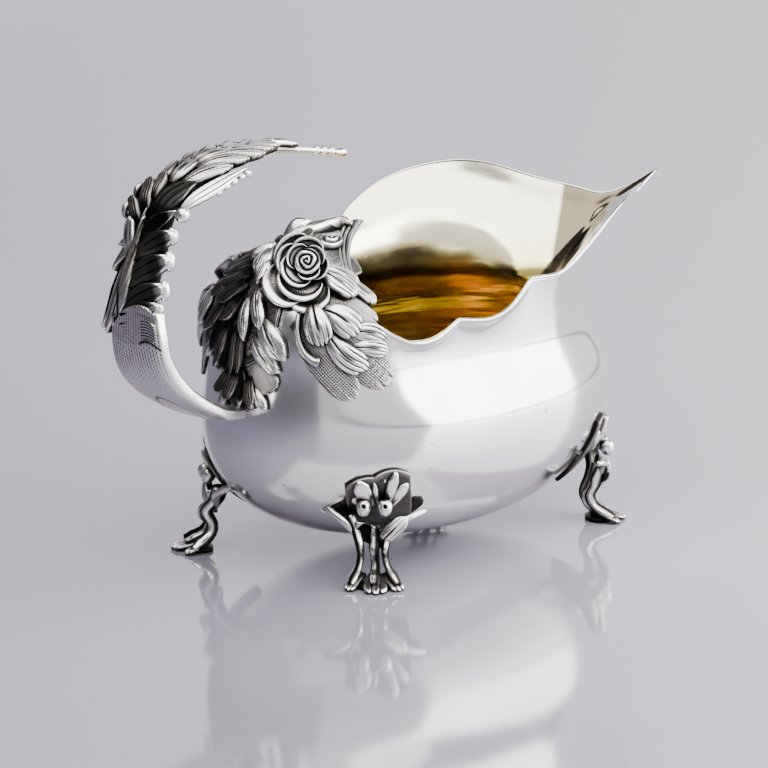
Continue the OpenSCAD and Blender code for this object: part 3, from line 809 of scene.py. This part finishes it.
# ---- rose
ROSE_AT = np.array([-54.3, -14, 85])
ROSE_TURN, ROSE_LIFT = math.radians(219), math.radians(20)
ROSE_OUT = np.array([math.cos(ROSE_LIFT) * math.cos(ROSE_TURN),
                     math.cos(ROSE_LIFT) * math.sin(ROSE_TURN), math.sin(ROSE_LIFT)])
ROSE_RIGHT = unit(np.cross([0, 0, 1], ROSE_OUT))
ROSE_UP = np.cross(ROSE_OUT, ROSE_RIGHT)
# Petals, back to front: middle and spread in degrees, inner and outer reach, foot and lip height,
# and for the engraved ones the number of lines in a turn and their slant.
ROSE_PETALS = [
    (140, 62, 4, 9.6, -2.4, -0.6, 46, 0), (-88, 44, 4.6, 13, -2.2, -0.8, 90),
    (-138, 46, 4.6, 13.6, -1.8, -0.4, 90), (-112, 64, 4, 10.2, 0.2, 1, 70, -0.5),
    (172, 56, 3.4, 8.2, 0.8, 2), (88, 64, 3, 6.8, 1.2, 2.4), (-25, 58, 3, 5.8, 1.4, 2.8),
    (-142, 70, 3, 7.4, 1.8, 2.9), (38, 56, 2.6, 5, 2.4, 3.5), (150, 66, 2.4, 5.6, 2.8, 3.8),
    (-78, 60, 2.4, 4.9, 3, 4.2),
]


def rose_point(x, y, z):
    """A point in the rose's own directions: right, up and out from its middle."""
    return (ROSE_AT + np.asarray(x)[..., None] * ROSE_RIGHT + np.asarray(y)[..., None] * ROSE_UP
            + np.asarray(z)[..., None] * ROSE_OUT)


def rose_heart(cast):
    """A rolled heart: a spiral of petal edges on a low dome."""
    size = 3.4
    r = np.linspace(0, 1, 50)[:, None] * size
    turn = np.linspace(0, TAU, 121)[None, :]
    pitch = 1.05 + 0.1 * r
    wave = 0.12 * np.sin(3 * turn + 1.4 * r)
    phase = (r + wave) / pitch - turn / TAU
    saw = phase - np.floor(phase)
    lip = np.clip(saw / 0.5, 0, 1) ** 1.2 * (1 - ease((saw - 0.72) / 0.2))
    z = 5.6 - 1.2 * (r / size) ** 2 + 0.6 * lip
    top = rose_point(r * np.cos(turn), r * np.sin(turn), z)
    under = rose_point(r * np.cos(turn) * 0.9, r * np.sin(turn) * 0.9, np.full_like(z, -1.5))
    cast.slab(top, under, np.clip(0.12 + 0.85 * lip, 0, 1))


def rose_petal(cast, middle, spread, inner, outer, low, high, hatch=0, slant=0.6):
    """One cupped petal round the heart, its lip rolled outwards."""
    q = np.linspace(0, 1, 34)[:, None]
    s = np.linspace(-1, 1, 81)[None, :]
    angle = math.radians(middle) + math.radians(spread) * s * (1 - 0.1 * q)
    reach = inner + (outer - inner) * q * (1 - 0.55 * np.abs(s) ** 2.6)
    lip = ease((q - 0.6) / 0.25) * (1 - ease((q - 0.94) / 0.06) * 0.8)
    z = low + (high - low) * q**0.8 + 0.5 * lip * (1 - 0.5 * s**2)
    lines = 0 * angle
    if hatch:
        lines = np.clip(np.cos(hatch * (angle + slant * q)) * 1.6 - 0.6, 0, 1) * ease(q / 0.2)
    z = z - 0.12 * lines * (1 - lip)
    top = rose_point(reach * np.cos(angle), reach * np.sin(angle), z)
    under = rose_point(reach * np.cos(angle) * 0.97, reach * np.sin(angle) * 0.97, z - 1.8 - 1.5 * (1 - q))
    tone = 0.28 + 0.5 * ease((q - 0.12) / 0.4) + 0.24 * lip - 0.5 * lines * (1 - 0.7 * lip) + 0 * s
    cast.slab(top, under, np.clip(tone, 0, 1))


def rose():
    """The whole bloom."""
    cast = Casting()
    for petal in ROSE_PETALS:
        rose_petal(cast, *petal)
    rose_heart(cast)
    cast.done("rose_bloom", "rose")


# ---- handle
STRAP_WIDTH = 16.5
# Handle centreline: place along it, x, z, share of the strap's half width.
HANDLE_KEYS = [
    [0, -67.6, 46, 0.5], [1, -80.5, 49, 1.06], [2, -95.2, 57.6, 1.2], [3, -104.2, 69.8, 1.12],
    [4, -104.2, 81.1, 1.04], [5, -99.5, 93.3, 1.02], [6, -94, 104.5, 1], [7, -79.7, 111.2, 1.06],
    [8, -65, 113.4, 1.02], [9, -54.9, 113.6, 0.7], [10, -41.2, 111.5, 0.34], [11, -23.3, 108.4, 0.12],
]
ACROSS = np.array([0, 1, 0])


def handle_line(s):
    """Centre, direction, outward normal and half width of the handle at each place s."""
    s = np.asarray(s, float)

    def keys(at):
        return key_curve(HANDLE_KEYS, at.reshape(-1)).reshape(s.shape + (3,))

    k = keys(s)
    d = keys(np.minimum(s + 0.02, 11)) - keys(np.maximum(s - 0.02, 0))
    centre = np.stack([k[..., 0], 0 * s, k[..., 1]], -1)
    along = unit(np.stack([d[..., 0], 0 * s, d[..., 1]], -1))
    return centre, along, np.cross(along, ACROSS), STRAP_WIDTH / 2 * k[..., 2]


def at_handle(place, across, out):
    """A point beside the handle's centreline."""
    centre, _, outward, _ = handle_line(np.array([place]))
    return centre[0] + ACROSS * across + outward[0] * out


def on_handle(start, end, bend=0, count=24):
    """Points and normals along a line (place, mm across) on the outer face of the handle."""
    line, u = straight(start, end, count)
    q = line[:, 1] + bend * np.sin(PI * u)
    centre, _, out, half = handle_line(line[:, 0])
    share = np.clip(q / half, -1.3, 1.3)
    lift = 1.9 * (1 - 0.45 * share**2)
    n = unit(out + ACROSS * (share * 0.75)[:, None])
    return centre + ACROSS * q[:, None] + out * lift[:, None], n


def handle_bar(cast, s0, s1, count, half_t, width, square, raised, sides=48, detail=None, drop=0, nearer=0):
    """The handle's own body: a rounded bar swept between two places.

    half_t and width are (places, values). drop lowers its top edge on the far side, and nearer moves its
    upper end to the right. detail(s, x, y) gives the relief and the tone.
    """
    s = np.linspace(s0, s1, count)
    even = np.linspace(-1, 1, sides // 2 + 1)
    even = (even + np.sin(PI / 2 * even)) / 2
    lean = np.arcsin(np.sign(even) * np.abs(even) ** (1 / square))
    turn = np.concatenate([lean[:-1], PI - lean[:0:-1]])
    cs, sn = np.cos(turn), np.sin(turn)
    x = np.sign(cs) * np.abs(cs) ** square
    y = np.sign(sn) * np.abs(sn) ** square
    place = s[:, None] - drop * ease((s[:, None] - 2.4) / (s1 - 2.4)) * ((y[None] + 0.3) / 1.3) ** 2
    centre, _, out, half = handle_line(place)
    relief, tone = detail(s, x, y) if detail else (0, np.full((count, sides), raised))
    across = half * np.interp(place, *width) * y[None] - nearer * ease((place - 2.2) / 1.1)
    rings = centre + out * ((np.interp(place, *half_t) + relief) * x[None])[..., None]
    rings = rings + ACROSS * across[..., None]
    tone = np.concatenate([np.clip(tone, 0, 1).reshape(-1), [raised, raised]])
    cast.rod(rings, rings[[0, -1]].mean(axis=1), tone)


def strap_detail(s, x, y):
    """Punched lines that fade down the strap, a reeded shell on its shoulder and the lip at its top."""
    face = (x > 0.5)[None, :]
    s, y = s[:, None], y[None, :]
    lines = np.clip(np.cos(y * 62 + np.sin(s * 2.2)) * 1.6 - 0.4, 0, 1) * ease((s - 1.7) / 1.1)
    breaks = 0.6 + 0.4 * np.sin(s * 80 + 37 * y + 3 * np.sin(7 * s))
    oval = bell(np.hypot((s - 1.4) / 0.5, y / 0.42) - 1, 0.09)
    reed = np.clip(np.cos(TAU * (s + 0.35 * (y + 0.6) ** 2) / 0.055) * 1.7 - 0.2, 0, 1)
    shell = ease((s - 3.26) / 0.05) * (1 - ease((s - 3.62) / 0.05))
    shell = shell * (1 - ease((np.abs(y + 0.6) - 0.24) / 0.08))
    fold = bell(s + 0.8 * (y + 0.55) ** 2 - 3.24, 0.022) * (np.abs(y + 0.6) < 0.36)
    lip = bell(s - 3.88, 0.07)
    marks = lines * breaks * (1 - shell)
    height = 0.5 * shell - 0.32 * reed * shell - 0.09 * marks - 0.35 * fold + 0.5 * lip
    shade = 0.9 - 0.16 * ease((s - 1.8) / 1.2) - 0.8 * reed * shell - 0.42 * marks - 0.8 * fold - 0.45 * oval
    return np.where(face, height, 0.2 * lip), np.where(face, shade, 0.95)


def handle_strap():
    """The plain strap, from the bowl up to the acanthus."""
    cast = Casting()
    handle_bar(cast, 0, 3.95, 380, ([0, 1, 2, 3.3, 3.95], [1.6, 2.1, 2.5, 2.8, 2.5]),
               ([0, 2.4, 3.4, 3.95], [1, 1, 0.95, 0.82]), 0.62, 0.9, 240, strap_detail, 0.45, 2.2)
    cast.done("strap_bar", "handle_strap", "matted_silver")


LOBE = dict(lobes=1, rounding=0.4, belly=0.75, close=0, start=0, roll=1.3, cup=0.9, crown=0.5, foot=0.3,
            lines=0.9, rim_light=0.35)
BLADE = dict(lobes=2, scallop=0.02, rounding=0.55, belly=0.4, close=0.6, cut=0.7, start=0, crown=0.8,
             foot=0.4, shade=-0.2, rim_light=0.5)

# Acanthus lobes on the near (right) edge and blades on the far edge, in rows as on the hood, by place
# along the handle and mm across.
ACANTHUS = [
    (BLADE, 4.6, 1.6, 3.4, 5, 2.1, -0.6, 0.7, 0.8), (BLADE, 5.1, 2, 3.2, 7.8, 2.5, -1.2, 0.8, 0.9),
    (HOLLOW, 5.5, 2.4, 3.3, 9.8, 2.6, -1.6, 0.8, 0.9), (BLADE, 5.5, 1.6, 4.5, 8.4, 2.5, -1, 1, 0.9),
    (HOLLOW, 5.6, 1, 5, 8.6, 1.6, -0.8, 1.2, 1.2), (LOBE, 3.5, 3, 4, -10.2, 2.6, 1.6, 0.4, 0.6),
    (LOBE, 3.7, 2.6, 4.36, -10.8, 3.5, 2, 0.7, 0.8), (LOBE, 4.2, 2.2, 4.9, -10, 3.5, 2, 0.9, 1),
    (LOBE, 4.75, 1.6, 5.42, -9.4, 3.1, 1.6, 1.1, 1), (HOLLOW, 5.2, 0.8, 5.85, -7.4, 2, 0.8, 1.3, 1.2),
    (PLUME, 3.6, 3, 5.8, 0.6, 0.6, 0.4, 1.2, 1.8), (FAN, 4.75, 2.6, 5.62, 5.4, 2.6, 0, 1.4, 1.8),
    (CURL, 5.5, 2.5, 5.95, 6.6, 2, 0, 1.6, 2.4), (CURL, 5.75, 1.5, 6.35, 5, 2.2, 0, 1.6, 2.4),
    (CURL, 5.95, 0.8, 6.5, 2.6, 1.8, 0, 1.6, 2.2),
]
SPRAY = [
    (PLUME, 5.6, -1.6, 6.6, -6, 3.4, 0.6, 0.6, 0.4), (PLUME, 5.8, 2.4, 6.55, 6.4, 3, -0.6, 0.6, 0.4),
    (OVAL, 6.35, -3.4, 7.2, -8.8, 2.2, 0.5, 0.6, 0.7), (OVAL, 6.3, 3.4, 7.1, 9, 2.2, -0.5, 0.6, 0.7),
    (OVAL, 6.8, -2.2, 7.6, -8.8, 2.2, 0.6, 0.8, 0.9), (OVAL, 6.7, 2.2, 7.5, 9, 2.2, -0.6, 0.8, 0.9),
    (FAN, 6.35, 0, 7, 0.6, 2.4, 0, 0.8, 1.5), (OVAL, 7.15, -2, 8.05, -8.6, 2.1, 0.6, 0.9, 0.9),
    (OVAL, 7.15, 2, 8, 8.8, 2.1, -0.6, 0.9, 0.9), (FAN, 6.9, -0.6, 7.6, -3, 2.2, 0.2, 1, 1.6),
    (FAN, 6.9, 0.6, 7.6, 3.4, 2.2, -0.2, 1, 1.6), (OVAL, 7.6, -1.8, 8.5, -7.2, 1.9, 0.5, 0.9, 0.9),
    (OVAL, 7.6, 1.8, 8.45, 7.4, 1.9, -0.5, 0.9, 0.9), (FAN, 7.5, 0, 8.3, 0, 2.3, 0, 1, 1.5),
    (OVAL, 8.05, -1.2, 9, -5, 1.6, 0.4, 0.8, 0.7), (OVAL, 8.05, 1.2, 9, 5, 1.6, -0.4, 0.8, 0.7),
    (OVAL, 8.3, 0, 9.45, 0, 1.6, 0, 0.8, 0.7),
]


def handle_leaves(cast, leaves, darker=0):
    """Leaves on the handle's outer face."""
    for habit, start, end, half, bend, stand in rows(leaves):
        shade = habit.get("shade", 0) - darker
        leaf(cast, on_handle(start, end, bend), half,
             **{**habit, "stand": stand, "solid": False, "thick": 2.2, "shade": shade})


def volute(cast, place, across, radius):
    """A rolled scroll end on the handle's far edge."""
    _, along, out, _ = handle_line(np.array([place]))
    turn = np.linspace(0, 1.6 * TAU, 60)[:, None]
    r = radius * np.linspace(1, 0.35, 60)[:, None]
    points = (at_handle(place, across, 1.4) + along[0] * (r * np.cos(turn)) + out[0] * (r * np.sin(turn))
              + ACROSS * np.linspace(0, 1.4, 60)[:, None])
    cast.tube(points, [0.9, 0.5], 12, 0.7)


# The rolled ends of the lobes: place, mm across to the right, radius, slimness.
LOBE_ENDS = [(5.82, 8.8, 2, 1), (5.36, 7.5, 2.4, 0.7), (4.86, 8.5, 2.7, 0.62), (4.3, 9.5, 2.6, 0.62),
             (3.92, 8.8, 1.6, 0.8)]


def handle_acanthus():
    """The acanthus part of the handle."""
    cast = Casting()
    handle_bar(cast, 3.4, 6.1, 90, ([3, 6.1], [1.9, 1.7]), ([3, 3.6, 6.1], [0.85, 0.84, 0.72]), 0.8, 0.12)
    handle_leaves(cast, ACANTHUS)
    volute(cast, 5.72, 7.8, 2)
    volute(cast, 6.12, 7.6, 1.7)
    for place, across, radius, slim in LOBE_ENDS:
        cast.ball(at_handle(place, -across, 0.4), radius, 0.95, (slim, slim, 1))
    cast.done("acanthus", "handle_acanthus")


def edge_leaf(cast, side):
    """The long narrow leaf on the spray's edge, its lower margin rolled into beads."""
    s = np.linspace(5.95, 7.55, 40)
    centre, _, out, _ = handle_line(s)
    across = side * (7 + 1.6 * ease((s - 5.95) / 0.9))
    drop = 0.5 + np.sin(PI * (s - 5.95) / 2)
    path = centre + ACROSS * across[:, None] - out * drop[:, None]
    normals = unit(ACROSS * side * 0.8 + out * 0.5)
    leaf(cast, (path, normals), 2, solid=False, thick=1.6,
         **{**BLADE, "stand": (0.4, 0.6), "cut": 0.5, "lobes": 3, "shade": 0})
    for k, place in enumerate((6.75, 6.95, 7.15, 7.33, 7.5)):
        i = int(np.argmin(np.abs(s - place)))
        middle = path[i] - out[i] * (1.5 - 0.1 * k) + ACROSS * side * 0.6
        cast.ball(middle, 1.05, 0.95, (1.2, 0.8, 0.9))


def handle_spray():
    """The spray of leaves, with a small flower on it."""
    cast = Casting()
    handle_bar(cast, 6, 9.05, 90, ([6, 9], [1.5, 1.1]), ([6, 7.5, 9], [0.66, 0.7, 0.55]), 0.8, 0.15)
    handle_leaves(cast, SPRAY, 0.16)
    edge_leaf(cast, -1)
    edge_leaf(cast, 1)
    _, along, _, _ = handle_line(np.array([7.62]))
    for k in range(6):
        turn = k * PI / 3
        petal = along[0] * 1.4 * math.cos(turn) + ACROSS * 1.4 * math.sin(turn)
        cast.ball(at_handle(7.62, 0, 2.6) + petal, 0.75, 0.85)
    cast.ball(at_handle(7.62, 0, 2.9), 0.7, 0.7)
    cast.done("leaf_spray", "handle_leaf_spray")


def handle_tip():
    """The thin end, with three rings and a swelling."""
    cast = Casting()
    s = np.linspace(8.95, 10.97, 140)
    centre, _, out, _ = handle_line(s)
    thick = 1.9 - 0.85 * ease(s - 9)
    for ring in (10.36, 10.52, 10.68):
        thick = thick + 0.6 * bell(s - ring, 0.045)
    bulge = 0.9 + 0.65 * np.sin(PI * np.clip((s - 10.76) / 0.3, 0, 1))
    cast.tube(centre + out * 0.2, np.where(s > 10.76, bulge, thick) * 0.85, 20, 0.8)
    for side in (-1, 1):
        leaf(cast, on_handle((8.9, 0.4 * side), (9.85, 1.6 * side)), 1.3, solid=False, thick=1.2,
             **{**OVAL, "stand": (0.2, 0.3)})
    cast.done("beaded_tip", "handle_tip")


# ---- legs
LEG_X, LEG_Y = 47.7, 30.9
KNEE_LEVEL = 0.47


class Leg:
    """One leg's own directions: out from the bowl, across, and up from the foot's centre."""

    def __init__(self, sx, sy):
        self.hand = 1 if sx * sy > 0 else -1
        self.foot = np.array([sx * LEG_X, sy * LEG_Y, 0])
        self.out = unit(np.array([sx * LEG_X, sy * LEG_Y * 1.25, 0]))
        self.across = np.array([-self.out[1], self.out[0], 0]) * self.hand
        self.angle = math.degrees(math.atan2(sy * LEG_Y / BELLY_B, (sx * LEG_X - BELLY_X) / BELLY_A))
        knee = skin(self.angle, KNEE_LEVEL) - self.foot
        self.knee = float(np.dot(knee, self.out)) + 3.2

    def at(self, r, q, z):
        """A point r mm outwards, q across and z up."""
        return self.foot + self.out * r + self.across * q + np.array([0, 0, z])

    def line(self, points, count=40):
        """A smooth course through (out, across, up) points, kept off the table."""
        p = smooth_path([self.at(*x) for x in points], count)
        p[:, 2] = np.maximum(p[:, 2], 0.6)
        return p

    def on_skin(self, start, end, bend=0):
        """A line (degrees from the leg, level) on the bowl near this leg."""
        a = [self.angle + self.hand * start[0], start[1]]
        b = [self.angle + self.hand * end[0], end[1]]
        return on_bowl(a, b, bend * self.hand)


def stems(leg, cast):
    """Three bent stems that part at the knee and meet again at the toes."""
    k = leg.knee
    left = [(k - 0.6, -6.6, 18.6), (k, -5, 15), (-1.4, -3.9, 11.6), (-3, -3.7, 7.8),
            (-2.2, -4.2, 4.8), (0.6, -5.4, 2.6), (2.6, -6.2, 1.4)]
    middle = [(k + 0.2, 0.1, 16), (k, 0, 13), (-1.4, 0, 10), (-3.2, 0.2, 7),
              (-2, 0.3, 4.2), (1, 0.3, 2.4), (3.6, 0.3, 1.6)]
    right_side = [(k, 4.8, 15.6), (k - 0.8, 3.6, 12.8), (-1.6, 2.9, 10.4), (-3, 3, 7.6),
                  (-2, 3.7, 5), (0.6, 5.2, 3), (2.8, 6.4, 1.8)]
    for line, radii in ((left, [1.5, 1.4, 1.2, 1.05, 1.1, 1.4, 0.9]),
                        (middle, [1.2, 1.5, 1.35, 1.15, 1.3, 1.7, 1.2]),
                        (right_side, [1.2, 1.3, 1.05, 1, 1.05, 1.4, 1])):
        p = leg.line(line)
        flute = 0.5 + 0.4 * np.cos(3 * np.linspace(0, TAU, 18, endpoint=False))
        cast.tube(p, radii, 18, np.tile(flute, len(p)).tolist() + [0.6, 0.6], (leg.out, 1.55))


TOE = dict(scallop=0.16, rounding=0.15, belly=0.7, close=0.05, cut=0.4, start=0.1, crown=0.5, foot=0.5,
           cup=0.45)


def toes(leg, cast):
    """Leaf-shaped toes that spread flat on the table."""
    up = np.array([0, 0, 1])
    for q0, q1, reach, half in ((-3.4, -6.8, 5, 1.7), (3.2, 6.8, 4.8, 2), (0.2, 0.6, 8, 3.3)):
        line = smooth_path([leg.at(-2, q0 * 0.8, 3.4), leg.at(1.5, (q0 + q1) / 2, 2.2),
                            leg.at(reach, q1, 1)], 16)
        normals = np.repeat(unit(up + leg.out * 0.3)[None], 16, 0)
        leaf(cast, (line, normals), half, **{**TOE, "stand": (0.3, 0.1), "solid": False, "thick": 0.95})
    turn = np.linspace(0, TAU, 33)[None, :]
    share = np.linspace(0, 1, 8)[:, None]
    x, y = 3.6 * share * np.cos(turn), 5 * share * np.sin(turn) * leg.hand
    pad = leg.foot + leg.out * x[..., None] + leg.across * y[..., None]
    cast.slab(pad + up * (2.3 - 1.2 * share**2 + 0 * x)[..., None], pad + up * 0.02, np.full(x.shape, 0.3))


PETAL = dict(lobes=2, rounding=0.22, belly=0.6, close=0.2, crown=0.8, foot=0.35, lines=0.5)
BACKING = dict(lobes=1, rounding=0.08, close=0.1, crown=0.2, foot=0.75, rim_light=0.2)

# The knee's leaves, in rows as on the hood, by degrees from the leg and level on the bowl.
KNEE_LEAVES = [
    (BACKING, -2.4, 0.34, -3.6, 0.575, 5.6, 0, 1, 1.4), (BACKING, 3, 0.34, 4.2, 0.595, 5.6, 0, 1, 1.4),
    (PLATE, -3, 0.4, -13, 0.47, 2.6, 1, 0.4, 0.6), (PLATE, 3, 0.4, 13, 0.48, 2.6, -1, 0.4, 0.6),
    (PETAL, -1.8, 0.475, -5.2, 0.57, 2.3, 0.3, 1.4, 2.2), (PETAL, -0.4, 0.475, -0.9, 0.562, 0.8, 0, 1.4, 2),
    (HOLLOW, 1, 0.475, 2.2, 0.572, 1.5, 0, 1.2, 1.9), (PETAL, 2.4, 0.475, 5.2, 0.592, 1.5, 0.3, 1.6, 2.4),
    (PETAL, 3.4, 0.465, 8.4, 0.552, 1.7, 0.4, 1.4, 1.8), (PETAL, -3, 0.455, -7.6, 0.515, 1.4, 0.3, 1.2, 1.4),
]


def leg_leaves(leg, cast):
    """The leaf mount above one knee, with an arm to each side."""
    for habit, start, end, half, bend, stand in rows(KNEE_LEAVES):
        shade = -0.5 if habit in (PLATE, BACKING) else 0.05
        leaf(cast, leg.on_skin(start, end, bend), half, **{**habit, "stand": stand, "shade": shade})
    k = leg.knee
    arms = (
        ([(k + 0.2, -4.2, 13.4), (k + 0.4, -7.4, 16.6), (k - 1.2, -10.8, 18.8), (k - 3.2, -13, 20.4)],
         [1.3, 1.2, 1, 1.1]),
        ([(k + 0.2, 5.2, 15), (k + 0.2, 8.2, 17.4), (k - 1.2, 11, 18.6), (k - 3, 13.2, 19)],
         [1.1, 0.9, 0.8, 0.6]),
    )
    for points, radii in arms:
        cast.tube(leg.line(points, 24), radii, 12, 0.8)
    normals = np.repeat(unit(leg.out + np.array([0, 0, 0.1]))[None], 16, 0)
    curl = ((k + 0.2, -0.6, 11.4), (k + 0.8, -2, 14), (k + 1.2, -4.6, 17.2))
    veined = ((k, 0.8, 10), (k + 1, 3.8, 14), (k + 0.4, 8.6, 18.2))
    for course, half, habit in ((curl, 2.5, {**HOLLOW, "roll": 0.5}),
                                (veined, 2.2, {**FAN, "scallop": 0.03, "lobes": 4})):
        path = smooth_path([leg.at(*point) for point in course], 16)
        leaf(cast, (path, normals), half, **{**habit, "stand": (0.6, 1.2), "solid": False})
    ring = [leg.at(k - 3, -12.8 + 1.3 * math.cos(a), 20 + 1.3 * math.sin(a))
            for a in np.linspace(0, TAU, 26)]
    cast.tube(ring, [0.5], 8, 0.8)


def berries(leg, cast):
    """Two egg-shaped berries, each drilled with a round eye."""
    up = np.array([0, 0, 1])
    for q in (-2.8, 2.8):
        centre = leg.at(leg.knee + 1.9, q, 21.3)
        axis = unit(leg.out * 0.96 + up * 0.25)
        side = unit(np.cross(up, axis))
        high = np.cross(axis, side)
        theta = np.linspace(0, PI, 40)[:, None]
        phi = np.linspace(0, TAU, 41)[None, :-1]
        r = 2.05 - 0.85 * np.exp(-((theta / 0.26) ** 4))
        egg = 1 + 0.16 * np.sin(theta) * -np.sin(phi)
        x = r * np.sin(theta) * np.cos(phi) * 0.95
        y = r * np.sin(theta) * np.sin(phi) * egg * 1.12
        z = r * np.cos(theta)
        grid = centre + side * x[..., None] + high * y[..., None] + axis * z[..., None]
        hole = np.clip((theta[1:-1] - 0.16) / 0.22, 0, 1) * 0.8 + 0 * phi
        tone = np.concatenate([hole.reshape(-1), [0, 0.7]])
        cast.rod(grid[1:-1], grid[[0, -1], 0], tone, flip=True)


def legs():
    """The four legs, each in three castings."""
    castings = (("stems_", "leg_", (stems, toes)), ("knee_leaves_", "leg_leaf_", (leg_leaves,)),
                ("eyed_berries_", "berries_", (berries,)))
    for sx, fore in ((-1, "rear"), (1, "front")):
        for sy, hand in ((-1, "right"), (1, "left")):
            leg, name = Leg(sx, sy), fore + "_" + hand
            for piece, node, parts in castings:
                cast = Casting()
                for part in parts:
                    part(leg, cast)
                cast.done(piece + name, node + name)


camera()
floor()
studio()
bowl_shell("bowl_silver", 0, WALL - 0.05, "bowl", "polished_silver")
bowl_shell("bowl_gilding", WALL, WALL + GILT, "gilt_lining", "gilt")
rim_bead()
hood()
rose()
handle_strap()
handle_acanthus()
handle_spray()
handle_tip()
legs()
